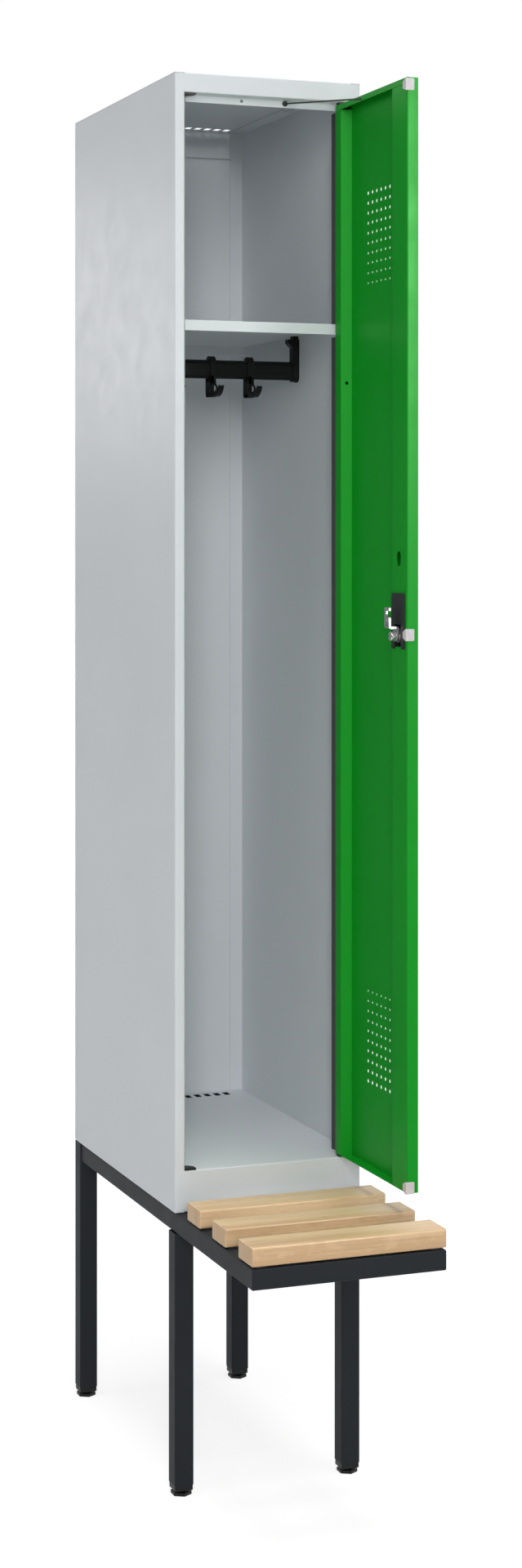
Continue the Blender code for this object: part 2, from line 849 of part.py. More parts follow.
def hook_shape(root):
    """A hook round the bar: closed loop, body, eyelet in front and a horn that curves up."""
    half = HOOK_WIDTH / 2
    bore_width = RAIL_THICK + 2 * RAIL_FIT
    bore_tall = RAIL_TALL + 2 * RAIL_FIT
    loop_width = bore_width + 2 * HOOK_WALL
    loop_top = bore_tall / 2 + HOOK_CROWN
    loop = obround((0, loop_top - bore_tall / 2 - HOOK_CROWN), loop_width, 2 * loop_top)
    hook = prism("hook_middle", loop, -half, half, "yz", black_plastic, root)
    body_half = HOOK_BODY_DEPTH / 2
    body = rounded(
        (-body_half, -HOOK_DROP), (body_half, -bore_tall / 2 + HOOK_WALL), HOOK_WALL / 2
    )
    eyelet = circle((-EYELET_REACH, -EYELET_DROP), EYELET_RADIUS + EYELET_WALL)
    horn_centre = (-HORN_CENTRE_REACH, HORN_RADIUS + HORN_THICK / 2 - HOOK_DROP)
    outside = arc(
        horn_centre,
        HORN_RADIUS + HORN_THICK / 2,
        HORN_FIRST_DEGREES,
        HORN_LAST_DEGREES,
        ROUND_SIDES // 2,
    )
    inside = arc(
        horn_centre,
        HORN_RADIUS - HORN_THICK / 2,
        HORN_LAST_DEGREES,
        HORN_FIRST_DEGREES,
        ROUND_SIDES // 2,
    )
    parts = [prism("part", points, -half, half, "yz") for points in (body, eyelet, outside + inside)]
    weld_on(hook, parts)
    bore = prism("bore", obround((0, 0), bore_width, bore_tall), -2 * half, 2 * half, "yz")
    hole = prism("hole", circle((-EYELET_REACH, -EYELET_DROP), EYELET_RADIUS), -2 * half, 2 * half, "yz")
    carve(hook, [bore, hole])
    return smooth(hook)


def hooks(root):
    """Three hooks of one mesh, each with its origin on the bar's axis."""
    middle = hook_shape(root)
    middle.location = (0, RAIL_Y, RAIL_Z)
    for name, side in (("hook_left", -1), ("hook_right", 1)):
        copy = bpy.data.objects.new(name, middle.data)
        bpy.context.scene.collection.objects.link(copy)
        copy.parent = root
        copy.location = (side * HOOK_PITCH, RAIL_Y, RAIL_Z)


# Door


def door_leaf(door):
    """One folded sheet: a box section on each long side, returns above and below, a top lip."""
    foot = DOOR_OUT + SHEET + FIT
    wall_foot = EDGE_HINGE - HINGE_BOX - HINGE_BOX_SLOPE
    lock_wall = EDGE_FREE + LOCK_BOX
    path = [
        (wall_foot, foot),
        (EDGE_HINGE - HINGE_BOX, DOOR_IN),
        (EDGE_HINGE, DOOR_IN),
        (EDGE_HINGE, DOOR_OUT),
        (EDGE_FREE, DOOR_OUT),
        (EDGE_FREE, DOOR_IN),
        (lock_wall, DOOR_IN),
        (lock_wall, foot),
    ]
    section = folded(path, left=False)
    leaf = prism("door_leaf", section, DOOR_LOW, DOOR_HIGH, "xy", green, door)
    lip_low = DOOR_HIGH - DOOR_LIP
    lip_back = DOOR_IN - SHEET
    chamber = block(
        (EDGE_FREE + SHEET, DOOR_OUT + SHEET, lip_low - SEAM),
        (EDGE_HINGE - SHEET, lip_back, DOOR_HIGH + OVERRUN),
    )
    carve(leaf, [chamber])
    lip = block(
        (lock_wall - 2 * OUTER_BEND, lip_back, lip_low - SEAM),
        (EDGE_HINGE - HINGE_BOX + 2 * OUTER_BEND, DOOR_IN, DOOR_HIGH),
    )
    weld_on(leaf, [lip])
    seam = block(
        (EDGE_FREE + OUTER_BEND, lip_back - SHEET, lip_low - SEAM),
        (EDGE_HINGE - OUTER_BEND, DOOR_IN + OVERRUN, lip_low),
    )
    carve(leaf, [seam])
    inset = SHEET / 4
    silhouette = rounded(
        (EDGE_FREE + inset, DOOR_OUT + inset), (EDGE_HINGE - inset, DOOR_IN - inset), OUTER_BEND
    )
    top = prism("top", silhouette, DOOR_HIGH - SHEET, DOOR_HIGH, "xy")
    bottom = prism("bottom", silhouette, DOOR_LOW, DOOR_LOW + SHEET, "xy")
    weld_on(leaf, [top, bottom])
    carve(leaf, [perforation()])
    carve(leaf, door_cutouts())
    return smooth(leaf)


def perforation():
    """Two fields of round holes that grow towards the door's ends."""
    shape = bmesh.new()
    for row in range(HOLE_ROWS):
        shrink = (HOLE_LARGE - HOLE_SMALL) * row / (HOLE_ROWS - 1)
        radius = (HOLE_LARGE - shrink) / 2
        upper = DOOR_HIGH - HOLES_FROM_TOP - row * HOLE_ROW_PITCH
        lower = DOOR_LOW + HOLES_FROM_BOTTOM + row * HOLE_ROW_PITCH
        for height in (upper, lower):
            for column in range(HOLE_COLUMNS):
                across = EDGE_FREE + HOLES_FROM_FREE_EDGE + column * HOLE_COLUMN_PITCH
                outline = circle((across, height), radius, HOLE_SIDES)
                add_prism(shape, outline, DOOR_OUT - OVERRUN, DOOR_OUT + SHEET + OVERRUN, "xz")
    return finish("perforation", shape)


def door_cutouts():
    """Holes for the lock, the view hole above it, the pivots, the cord and a hole in the box."""
    low, high = housing_body_corners()
    window = block(
        (low[0] - FIT, DOOR_IN - SHEET - OVERRUN, low[1] - FIT),
        (high[0] + FIT, DOOR_IN + OVERRUN, high[1] + FIT),
    )
    barrel = turned(
        "barrel_hole",
        [(BARREL_RADIUS + FIT, DOOR_OUT - OVERRUN), (BARREL_RADIUS + FIT, DOOR_OUT + SHEET + OVERRUN)],
        (LOCK_X, LOCK_Z),
        "xz",
    )
    view_hole = prism(
        "view_hole",
        obround((LOCK_X, LOCK_Z + VIEW_HOLE_ABOVE_AXIS), VIEW_HOLE_WIDTH, VIEW_HOLE_HEIGHT),
        DOOR_IN - SHEET - OVERRUN,
        DOOR_IN + OVERRUN,
        "xz",
    )
    cord = turned(
        "cord_hole",
        [(CORD_HOLE_RADIUS, DOOR_IN - OVERRUN), (CORD_HOLE_RADIUS, DOOR_IN + OVERRUN)],
        (-CORD_HOLE_FROM_HINGE, DOOR_HIGH - CORD_HOLE_BELOW_TOP),
        "xz",
    )
    pin = PIN_RADIUS + FIT
    pins = [
        turned("pin_hole", [(pin, level - OVERRUN), (pin, level + OVERRUN)], (0, 0), "xy")
        for level in (DOOR_LOW, DOOR_HIGH)
    ]
    wall = EDGE_HINGE - HINGE_BOX - HINGE_BOX_SLOPE / 2
    wall_hole = turned(
        "wall_hole",
        [(WALL_HOLE_RADIUS, wall - 2 * OVERRUN), (WALL_HOLE_RADIUS, wall + 2 * OVERRUN)],
        (DOOR_IN - DOOR_THICKNESS / 2, DOOR_HIGH - WALL_HOLE_FROM_TOP),
        "yz",
    )
    return [window, barrel, view_hole, cord, wall_hole] + pins


def pivot_pins(door):
    """Stepped pins held inside the door's returns, which turn in the bushes."""
    header_reach = DOOR_TOP_GAP + SHEET + PIN_REACH
    floor_reach = DOOR_BOTTOM_GAP + SHEET + PIN_REACH
    pins = (
        ("pivot_pin_top", DOOR_HIGH - SHEET - FIT, 1, header_reach),
        ("pivot_pin_bottom", DOOR_LOW + SHEET + FIT, -1, floor_reach),
    )
    for name, seat, way, reach in pins:
        tip = seat + way * (FIT + SHEET + reach)
        profile = [
            (PIN_COLLAR_RADIUS, seat - way * PIN_COLLAR),
            (PIN_COLLAR_RADIUS, seat),
            (PIN_RADIUS, seat),
            (PIN_RADIUS, tip),
        ]
        smooth(turned(name, profile, (0, 0), "xy", plated, door))


def bumpers(door):
    """Clips on the free edge, with cut corners on the leg that lies on the inner face."""
    heights = {
        "door_bumper_top": DOOR_HIGH - BUMPER_TOP_DROP - BUMPER_HEIGHT / 2,
        "door_bumper_middle": LOCK_Z + BUMPER_ABOVE_LOCK,
        "door_bumper_bottom": DOOR_LOW - BUMPER_OVERHANG + BUMPER_HEIGHT / 2,
    }
    edge = EDGE_FREE - FIT
    face = DOOR_IN + FIT
    outer = edge - BUMPER_EDGE_THICK
    inner = BUMPER_INNER
    proud = STOP_INSET - HINGE_DEPTH - FIT
    section = [
        (outer, proud - BUMPER_EDGE_LEG),
        (edge, proud - BUMPER_EDGE_LEG),
        (edge, face),
        (inner, face),
        (inner, proud),
        (outer, proud),
    ]
    for name, middle in heights.items():
        low = middle - BUMPER_HEIGHT / 2
        high = middle + BUMPER_HEIGHT / 2
        clip = prism(name, section, low, high, "xy", pale_plastic, door)
        cut = [
            (outer, low),
            (inner - BUMPER_CORNER, low),
            (inner, low + BUMPER_CORNER),
            (inner, high - BUMPER_CORNER),
            (inner - BUMPER_CORNER, high),
            (outer, high),
        ]
        trim(clip, prism("cut", cut, proud - BUMPER_EDGE_LEG - OVERRUN, proud + OVERRUN, "xz"))


# Lock


def housing_cover_corners():
    left = EDGE_FREE + HOUSING_FROM_EDGE
    low = LOCK_Z - HOUSING_BELOW_AXIS
    return (left, low), (left + HOUSING_WIDTH, low + HOUSING_HEIGHT)


def housing_body_corners():
    low, high = housing_cover_corners()
    return (low[0] + HOUSING_RIM, low[1] + HOUSING_RIM), (high[0] - HOUSING_RIM, high[1] - HOUSING_RIM)


def lock_housing(door):
    """A moulded block in the lock box, with a channel below for the barrel and the cam."""
    cover = rectangle(*housing_cover_corners())
    body = rectangle(*housing_body_corners())
    floor_y = DOOR_OUT + SHEET + FIT
    housing = prism(
        "lock_housing", cover, HOUSING_FACE - HOUSING_COVER, HOUSING_FACE, "xz", black_plastic, door
    )
    weld_on(housing, [prism("body", body, floor_y, HOUSING_FACE - HOUSING_COVER / 2, "xz")])
    low = housing_cover_corners()[0][1]
    channel = block(
        (LOCK_X - CHANNEL_WIDTH / 2, floor_y + HOUSING_BACK, low - OVERRUN),
        (LOCK_X + CHANNEL_WIDTH / 2, HOUSING_FACE + OVERRUN, LOCK_Z + CHANNEL_ABOVE_AXIS),
    )
    bore = turned(
        "bore",
        [(BARREL_RADIUS + FIT, floor_y - OVERRUN), (BARREL_RADIUS + FIT, floor_y + HOUSING_BACK + OVERRUN)],
        (LOCK_X, LOCK_Z),
        "xz",
    )
    bumper_z = LOCK_Z + BUMPER_ABOVE_LOCK
    bumper_half = BUMPER_HEIGHT / 2 + FIT
    bumper_room = block(
        (EDGE_FREE, DOOR_IN - OVERRUN, bumper_z - bumper_half),
        (BUMPER_INNER + FIT, HOUSING_FACE + OVERRUN, bumper_z + bumper_half),
    )
    return carve(housing, [channel, bore, bumper_room])


def lock_barrel(door):
    """A flanged sleeve through the door sheet and the housing."""
    seat = DOOR_OUT - FIT
    end = HOUSING_FACE - SHEET
    bore = PLUG_RADIUS + FIT
    profile = [
        (bore, seat - BARREL_FLANGE),
        (BARREL_FLANGE_RADIUS - BARREL_FLANGE / 3, seat - BARREL_FLANGE),
        (BARREL_FLANGE_RADIUS, seat - BARREL_FLANGE * 2 / 3),
        (BARREL_FLANGE_RADIUS, seat),
        (BARREL_RADIUS, seat),
        (BARREL_RADIUS, end),
        (bore, end),
    ]
    return smooth(sleeve("lock_barrel", profile, (LOCK_X, LOCK_Z), "xz", plated, door))


def lock_plug(axis):
    """The part that turns inside the barrel, with the keyway in its outer end."""
    outer = DOOR_OUT - FIT - BARREL_FLANGE
    inner = CAM_BACK - FIT
    plug = turned("lock_plug", [(PLUG_RADIUS, outer), (PLUG_RADIUS, inner)], (0, 0), "xz", plated, axis)
    keyway = block(
        (-KEYWAY_WIDTH / 2, outer - OVERRUN, -KEYWAY_HEIGHT / 2),
        (KEYWAY_WIDTH / 2, outer + KEYWAY_DEPTH, KEYWAY_HEIGHT / 2),
    )
    return smooth(carve(plug, [keyway]))


def lock_cam(axis):
    """A cranked plate with a hook at its end, which points up while the lock is open."""
    front = CAM_BACK + CAM_SHEET
    path = [
        (front, -CAM_WIDTH / 2),
        (front, CAM_CRANK_RISE),
        (front + CAM_CRANK, CAM_CRANK_RISE),
        (front + CAM_CRANK, CAM_LENGTH),
    ]
    section = folded(path, thick=CAM_SHEET, bend=CAM_BEND)
    half = CAM_WIDTH / 2
    cam = prism("lock_cam", section, -half, half, "yz", plated, axis)
    nose_low = CAM_LENGTH - CAM_NOSE
    notch_low = nose_low - CAM_NOTCH_HEIGHT
    bed = CAM_NOTCH_DEPTH - half
    outline = arc((0, 0), half, 180, 360, ROUND_SIDES // 2) + [
        (half, CAM_LENGTH - SHEET),
        (half - SHEET, CAM_LENGTH),
        (SHEET - half, CAM_LENGTH),
        (-half, CAM_LENGTH - SHEET),
        (-half, nose_low),
        (bed, nose_low),
        (bed, notch_low),
        (-half, notch_low - CAM_NOTCH_SLOPE),
    ]
    reach = front + CAM_CRANK + OVERRUN
    return smooth(trim(cam, prism("outline", outline, CAM_BACK - OVERRUN, reach, "xz")))


def cam_screw(axis):
    """A round nut with a cross slot that holds the cam on the plug."""
    seat = CAM_BACK + CAM_SHEET + FIT
    end = seat + NUT_LENGTH
    profile = [(NUT_RADIUS, seat), (NUT_RADIUS, end - NUT_SLOT / 2), (NUT_RADIUS - NUT_SLOT / 2, end)]
    nut = turned("cam_screw", profile, (0, 0), "xz", plated, axis)
    half = NUT_SLOT / 2
    bed = end - NUT_LENGTH / 3
    beyond = NUT_RADIUS + OVERRUN
    slots = [
        block((-beyond, bed, -half), (beyond, end + OVERRUN, half)),
        block((-half, bed, -beyond), (half, end + OVERRUN, beyond)),
    ]
    return smooth(carve(nut, slots))


# Door limiter


def limiter_button(root):
    """A domed rivet through the header's stop, which holds the cord's end."""
    face = STOP_INSET - FIT
    tail = STOP_INSET + SHEET + SHANK_TAIL
    profile = [
        (BUTTON_RADIUS - BUTTON_DOME, face - BUTTON_HEAD),
        (BUTTON_RADIUS, face - BUTTON_HEAD + BUTTON_DOME),
        (BUTTON_RADIUS, face),
        (SHANK_RADIUS, face),
        (SHANK_RADIUS, tail),
    ]
    centre = (LIMITER_OFFSET, HEADER_Z - LIMITER_BELOW_HEADER)
    return smooth(turned("limiter_button", profile, centre, "xz", black_plastic, root))


def limiter_cord(door):
    """The taut cord from the button's head to its hole in the open door's lip."""
    turn = Matrix.Rotation(math.radians(-DOOR_OPEN_DEGREES), 3, "Z")
    head = STOP_INSET - FIT - BUTTON_HEAD - FIT
    hole_z = DOOR_HIGH - CORD_HOLE_BELOW_TOP
    button = Vector((LIMITER_OFFSET, head, HEADER_Z - LIMITER_BELOW_HEADER))
    start = turn @ (button - Vector((HINGE_X, HINGE_DEPTH, 0)))
    hole = Vector((-CORD_HOLE_FROM_HINGE, DOOR_IN - SHEET / 2, hole_z))
    along = (hole - start).normalized()
    start += along * CORD_RADIUS
    end = hole + along * CORD_TAIL
    count = math.ceil((end - start).length / CORD_POINT_GAP)
    curve = bpy.data.curves.new("limiter_cord", "CURVE")
    curve.dimensions = "3D"
    curve.bevel_depth = CORD_RADIUS
    curve.bevel_resolution = 2
    curve.use_fill_caps = True
    line = curve.splines.new("POLY")
    line.points.add(count)
    for index, point in enumerate(line.points):
        point.co = (*start.lerp(end, index / count), 1.0)
    curve.materials.append(black_cord("limiter_cord_finish"))
    cord = bpy.data.objects.new("limiter_cord", curve)
    bpy.context.scene.collection.objects.link(cord)
    cord.parent = door
    return cord


# Stand and bench


def tube_section(low):
    """Outer and inner outlines of the square tube, from its low corner."""
    high = (low[0] + TUBE, low[1] + TUBE)
    outer = rounded(low, high, TUBE_CORNER)
    inner = rounded(
        (low[0] + TUBE_WALL, low[1] + TUBE_WALL),
        (high[0] - TUBE_WALL, high[1] - TUBE_WALL),
        TUBE_CORNER - TUBE_WALL,
    )
    return outer, inner


def stand_rails(root):
    """Square tubes: two side rails, the front one mitred into them, a cross rail and a rear one."""
    outer = HALF - RAIL_SETBACK
    inner = outer - TUBE
    front = -BENCH_REACH
    rear = CABINET_DEPTH - TUBE - FIT
    for name, side in (("stand_rail_left", -1), ("stand_rail_right", 1)):
        section = tube_section((inner, FRAME_LOW))
        rail = hollow(name, *section, front, rear, "xz", anthracite, root)
        corner = [
            (inner - OVERRUN, front - OVERRUN),
            (outer + OVERRUN, front - OVERRUN),
            (inner - OVERRUN, front + TUBE + OVERRUN),
        ]
        carve(rail, [wedge(corner)])
        if side < 0:
            mirrored(rail)
        smooth(rail)
    bench_rail(outer, front, root)
    cross = inner - FIT
    hollow("stand_cross_rail", *tube_section((0, FRAME_LOW)), -cross, cross, "yz", anthracite, root)
    leg_inner = HALF - TUBE - FIT
    rear_low = (CABINET_DEPTH - TUBE, FRAME_LOW)
    hollow("stand_rear_rail", *tube_section(rear_low), -leg_inner, leg_inner, "yz", anthracite, root)


def wedge(corner):
    """A cutter over the height of the frame, for a mitre."""
    return prism("wedge", corner, FRAME_LOW - OVERRUN, FRAME_TOP + OVERRUN, "xy")


def bench_rail(outer, front, root):
    """The front rail, mitred into both side rails."""
    section = tube_section((front, FRAME_LOW))
    rail = hollow("bench_front_rail", *section, -outer, outer, "yz", anthracite, root)
    slack = FIT * math.sqrt(2)
    for side in (-1, 1):
        corner = [
            (side * (outer + OVERRUN), front - OVERRUN - slack),
            (side * (outer + OVERRUN), front + TUBE + OVERRUN),
            (side * (outer - TUBE - OVERRUN - slack), front + TUBE + OVERRUN),
        ]
        carve(rail, [wedge(corner)])
    return smooth(rail)


def leg_set(place, side, front, top, root):
    """A leg, the cap in its lower end and the hexagonal levelling foot screwed into the cap."""
    low = FOOT_SHOW + LEG_CAP + FIT
    inner = HALF - TUBE
    left = inner if side > 0 else -HALF
    outer, bore = tube_section((left, front))
    smooth(hollow(f"leg_{place}", outer, bore, low, top, "xy", anthracite, root))
    middle = (left + TUBE / 2, front + TUBE / 2)
    plug_half = TUBE / 2 - TUBE_WALL - FIT
    cap_half = TUBE / 2 - LEG_CAP_INSET
    cap_outline = rounded(
        (middle[0] - cap_half, middle[1] - cap_half),
        (middle[0] + cap_half, middle[1] + cap_half),
        TUBE_CORNER,
    )
    plug_outline = rounded(
        (middle[0] - plug_half, middle[1] - plug_half),
        (middle[0] + plug_half, middle[1] + plug_half),
        TUBE_CORNER - TUBE_WALL,
    )
    cap = prism(f"leg_cap_{place}", cap_outline, FOOT_SHOW, FOOT_SHOW + LEG_CAP, "xy", black_plastic, root)
    plug_top = FOOT_SHOW + LEG_CAP + LEG_CAP_PLUG
    weld_on(cap, [prism("plug", plug_outline, FOOT_SHOW + LEG_CAP / 2, plug_top, "xy")])
    hole = STUD_RADIUS + FIT
    carve(cap, [turned("hole", [(hole, 0), (hole, plug_top + OVERRUN)], middle, "xy")])
    hexagon = arc(middle, FOOT_RADIUS, 30, 390, 6)[:-1]
    foot = prism(f"foot_{place}", hexagon, 0, FOOT_PLATE, "xy", black_plastic, root)
    profile = [
        (FOOT_NECK_RADIUS, FOOT_PLATE / 2),
        (FOOT_NECK_RADIUS, FOOT_SHOW - FIT),
        (STUD_RADIUS, FOOT_SHOW - FIT),
        (STUD_RADIUS, FOOT_SHOW + STUD_REACH),
    ]
    smooth(weld_on(foot, [turned("stem", profile, middle, "xy")]))


def legs(root):
    for word, side in (("left", -1), ("right", 1)):
        leg_set(f"front_{word}", side, 0, FRAME_LOW - FIT, root)
        leg_set(f"rear_{word}", side, CABINET_DEPTH - TUBE, FRAME_TOP, root)


def cabinet_pads(root):
    """Strips between the cabinet's side flanges and the stand."""
    for name, side in (("cabinet_pad_left", -1), ("cabinet_pad_right", 1)):
        outer = HALF - RAIL_SETBACK
        outline = rectangle((outer - PAD_WIDTH, 0), (outer, REAR_Y))
        pad = prism(name, outline, FRAME_TOP + FIT, STAND_HEIGHT - FIT, "xy", black_plastic, root)
        if side < 0:
            mirrored(pad)


def slats(root):
    """Three seat slats, each on two spacers on the side rails."""
    half = HALF - SLAT_END_INSET
    pad_low = FRAME_TOP + FIT
    low = pad_low + SLAT_PAD_THICK + FIT
    front = -BENCH_REACH - SLAT_OVERHANG
    rail_middle = HALF - RAIL_SETBACK - TUBE / 2
    for index, word in enumerate(("front", "middle", "rear")):
        start = front + index * SLAT_PITCH
        section = rounded((start, low), (start + SLAT_DEPTH, low + SLAT_THICK), SLAT_CORNER)
        slat = prism(f"slat_{word}", section, -half, half, "yz", beech, root)
        ends = slat.modifiers.new("ends", "BEVEL")
        ends.width = SLAT_END_CORNER
        ends.segments = 1
        ends.limit_method = "ANGLE"
        ends.angle_limit = math.radians(60)
        for side_word, side in (("left", -1), ("right", 1)):
            spacer = rectangle(
                (side * rail_middle - PAD_WIDTH / 2, start + SLAT_CORNER + SLAT_OVERHANG),
                (side * rail_middle + PAD_WIDTH / 2, start + SLAT_DEPTH - SLAT_CORNER),
            )
            prism(
                f"slat_pad_{word}_{side_word}", spacer, pad_low, pad_low + SLAT_PAD_THICK, "xy",
                black_plastic, root,
            )


# Assembly


def empty(name, location, parent=None):
    thing = bpy.data.objects.new(name, None)
    bpy.context.scene.collection.objects.link(thing)
    thing.parent = parent
    thing.location = location
    return thing


def cabinet(root):
    side_panel("side_panel_left", -1, root)
    side_panel("side_panel_right", 1, root)
    back_panel(root)
    roof(root)
    floor(root)
    shelf(root)
    hinge_strips(root)
    bushes(root)
    coat_rail(root)
    rail_bracket("rail_bracket_left", -1, root)
    rail_bracket("rail_bracket_right", 1, root)
    hooks(root)
    limiter_button(root)


def door(root):
    """The leaf and all it carries, turned open about the hinge axis."""
    hinge = empty("door_hinge_axis", (HINGE_X, HINGE_DEPTH, 0), root)
    door_leaf(hinge)
    pivot_pins(hinge)
    bumpers(hinge)
    lock_housing(hinge)
    lock_barrel(hinge)
    limiter_cord(hinge)
    axis = empty("lock_axis", (LOCK_X, 0, LOCK_Z), hinge)
    lock_plug(axis)
    lock_cam(axis)
    cam_screw(axis)
    hinge.rotation_euler.z = math.radians(DOOR_OPEN_DEGREES)


def stand(root):
    stand_rails(root)
    legs(root)
    cabinet_pads(root)
    slats(root)


def main():
    clear_scene()
    root = empty("cabinet_front", (0, FRONT_Y, 0))
    cabinet(root)
    door(root)
    stand(root)
    bpy.context.view_layer.update()


main()
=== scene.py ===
"""Looks of the locker with a bench: materials, fine pieces, floor, light and camera."""

import json
import math

import bmesh
import bpy
from mathutils import Matrix, Vector


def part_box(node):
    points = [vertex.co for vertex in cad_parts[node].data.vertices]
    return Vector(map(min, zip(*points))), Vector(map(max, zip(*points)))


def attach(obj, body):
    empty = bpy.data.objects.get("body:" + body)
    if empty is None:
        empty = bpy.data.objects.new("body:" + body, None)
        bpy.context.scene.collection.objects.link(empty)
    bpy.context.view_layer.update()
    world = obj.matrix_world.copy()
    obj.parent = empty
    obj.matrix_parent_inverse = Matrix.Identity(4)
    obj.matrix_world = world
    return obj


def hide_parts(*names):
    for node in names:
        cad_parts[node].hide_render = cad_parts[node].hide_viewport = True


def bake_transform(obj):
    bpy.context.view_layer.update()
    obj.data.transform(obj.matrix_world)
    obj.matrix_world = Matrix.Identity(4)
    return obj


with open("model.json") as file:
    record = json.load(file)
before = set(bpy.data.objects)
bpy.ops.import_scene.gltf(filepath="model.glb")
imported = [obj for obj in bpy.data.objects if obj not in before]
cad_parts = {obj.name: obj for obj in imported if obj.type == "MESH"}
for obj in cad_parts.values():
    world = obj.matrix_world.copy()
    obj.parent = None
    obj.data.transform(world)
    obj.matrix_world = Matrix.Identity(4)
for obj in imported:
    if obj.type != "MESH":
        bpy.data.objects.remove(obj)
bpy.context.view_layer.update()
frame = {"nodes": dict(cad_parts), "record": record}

NODES = frame["nodes"]
SLOTS = {entry["node"]: entry["material_slot"] for entry in frame["record"]["subparts"]}

# Colours
GREY = (0.755, 0.785, 0.815)
GREEN = (0.0060, 0.325, 0.0185)
DARK = (0.0212, 0.0245, 0.0284)
BLACK = (0.0075, 0.008, 0.008)
HOUSING = (0.015, 0.0165, 0.017)
PALE = (0.66, 0.64, 0.65)
STEEL = (0.62, 0.62, 0.61)
FELT = (0.012, 0.013, 0.014)
BRAID = (0.006, 0.006, 0.007)
# Painted shade: the next colour stands in for the shade in the hollow under the floor
PAINTED_HOLLOW_SHADE = (0.02, 0.022, 0.024)
SKY = (0.98, 0.99, 1.0)

# Beech: the growth bands from dark to light, and what lies on them
WOOD_BANDS = (
    (0.28, (0.65, 0.415, 0.215)),
    (0.42, (0.75, 0.51, 0.28)),
    (0.56, (0.815, 0.575, 0.325)),
    (0.74, (0.845, 0.62, 0.37)),
)
WOOD_BLUSH = (0.69, 0.41, 0.20)
WOOD_PORE = (0.33, 0.17, 0.07)
WOOD_FLECK = (0.50, 0.29, 0.14)
WOOD_KNOT = (0.34, 0.17, 0.075)
WOOD_END_DARK = (0.50, 0.31, 0.145)
WOOD_END_LIGHT = (0.63, 0.41, 0.195)

# Camera
CAMERA_PLACE = (-1.4163, -3.6571, 1.4223)
CAMERA_YAW = 19.985
CAMERA_LENS = 58.29
CAMERA_SENSOR = 36
CAMERA_SHIFT = (0.0431, -0.1539)
CAMERA_FAR = 200

# Light: place, target, size and power of each lamp
WORLD_LIGHT = 0.1
LAMPS = {
    "lamp_high": ((-2.6, -7.15, 4.4), (0, 0, 1.3), (1.4, 2.4), 130),
    "lamp_middle": ((-2.6, -7.15, 2.45), (0, 0, 1.3), (1.4, 1.2), 88),
    "lamp_above": ((0.0, -1.2, 9.0), (0, 0, 1.1), (4.0, 4.0), 490),
    "lamp_side": ((-7.5, -0.5, 3.0), (0, 0, 1.1), (4.0, 4.0), 49),
    "lamp_right": ((1.4, -3.65, 2.25), (0, -0.2, 1.5), (0.6, 0.6), 8),
}
HIGHLIGHTS = {
    "highlight_right": ((1.4, -3.65, 2.25), (0, -0.2, 1.5), (0.6, 0.6), 95),
    "highlight_back": ((-1.3, 3.2, 2.05), (-0.15, 0.2, 1.6), (0.7, 0.7), 7),
}

# Floor: its glow rises to white between the near and the far distance from the middle
FLOOR_COLOUR = (0.8, 0.8, 0.8, 1.0)
FLOOR_SEEN_COLOUR = (0.35, 0.35, 0.35, 1.0)
FLOOR_GLOW = 0.82
FLOOR_NEAR = 1.5
FLOOR_FAR = 5.0
FLOOR_HALF = 30.0
FLOOR_DROP = 0.0003

# Shared by the pieces
FIT = 0.0003
WELD = 0.000005
SAME = 0.00001
SHARP_DEGREES = 37
EDGE_WIDTHS = {
    "coat_rail": 0.0003, "rail_bracket_left": 0.0005, "rail_bracket_right": 0.0005,
    "lock_housing": 0.0004, "lock_cam": 0.0004, "cam_screw": 0.0003,
}
# How far in front of the threshold's back the painted shade of the hollow begins
PAINTED_SHADE_DEPTH = 0.05

# Slat
SLAT_ROUND = 0.003
SLAT_END_ROUND = 0.0018

# Filler in the seams beside the header and the threshold
BEND_OUTSIDE = 0.002
JAMB_FACE = 0.0155
FILLER_PROUD = 0.00003
FILLER_INWARD = 0.0005
FILLER_OUTWARD = 0.0003
FILLER_DEPTH = 0.0022

# Coat hook, from the middle of the rail: outlines lie in y and z, those of neck and eye in x and z
HOOK_HALF = 0.005
HOOK_LOOP = (0.0112, 0.021)
HOOK_LOOP_HOLE = (0.0079, 0.0154)
HOOK_WEB_FACE = 0.0012
HOOK_WEB = (
    (0.0112, -0.0095), (0.0126, -0.014), (0.0126, -0.038), (0.0101, -0.0446), (-0.009, -0.0448),
    (-0.0112, -0.04), (-0.0112, -0.0095),
)
HOOK_BACK = (
    (0.0112, -0.0095), (0.0126, -0.014), (0.0126, -0.038), (0.0101, -0.0446), (0.0078, -0.0446),
    (0.0098, -0.038), (0.0098, -0.014), (0.0088, -0.0095),
)
HOOK_FOOT = ((0.0114, -0.0395), (0.0101, -0.0446), (-0.012, -0.0449), (-0.0115, -0.0384))
HOOK_NECK = (
    (-HOOK_HALF, -0.0105), (HOOK_HALF, -0.0105), (0.0046, -0.0205), (0.0056, -0.0262),
    (-0.0056, -0.0262), (-0.0046, -0.0205),
)
HOOK_NECK_DEPTHS = (-0.0112, -0.0086)
EYE = (0.0075, 0.0087, (0, -0.0312))
EYE_HOLE = (0.0048, 0.0055, (0, -0.0306))
EYE_DEPTHS = (-0.0124, -0.0092)
HORN_STEPS = 24
HORN_START = 306
HORN_TURN = 98
HORN_CENTRE = (-0.024, -0.0159)
HORN_REACH = 0.0291
HORN_THICK = 0.0062
HORN_THINNING = 0.0012
HORN_NARROWING = 0.0009
HORN_NARROW_FROM = 0.35
HORN_RIM = 0.0013
HORN_FLANK = 0.0019
HORN_WELL = 0.0016
HOOK_EDGE = 0.0005

# Bumper
BUMPER_EDGE_LAND = 0.0022
BUMPER_SLANT = 0.004
BUMPER_ROUND = 0.0019
BUMPER_ROUND_DEGREES = (15, 45, 75)
BUMPER_EDGE = 0.0003

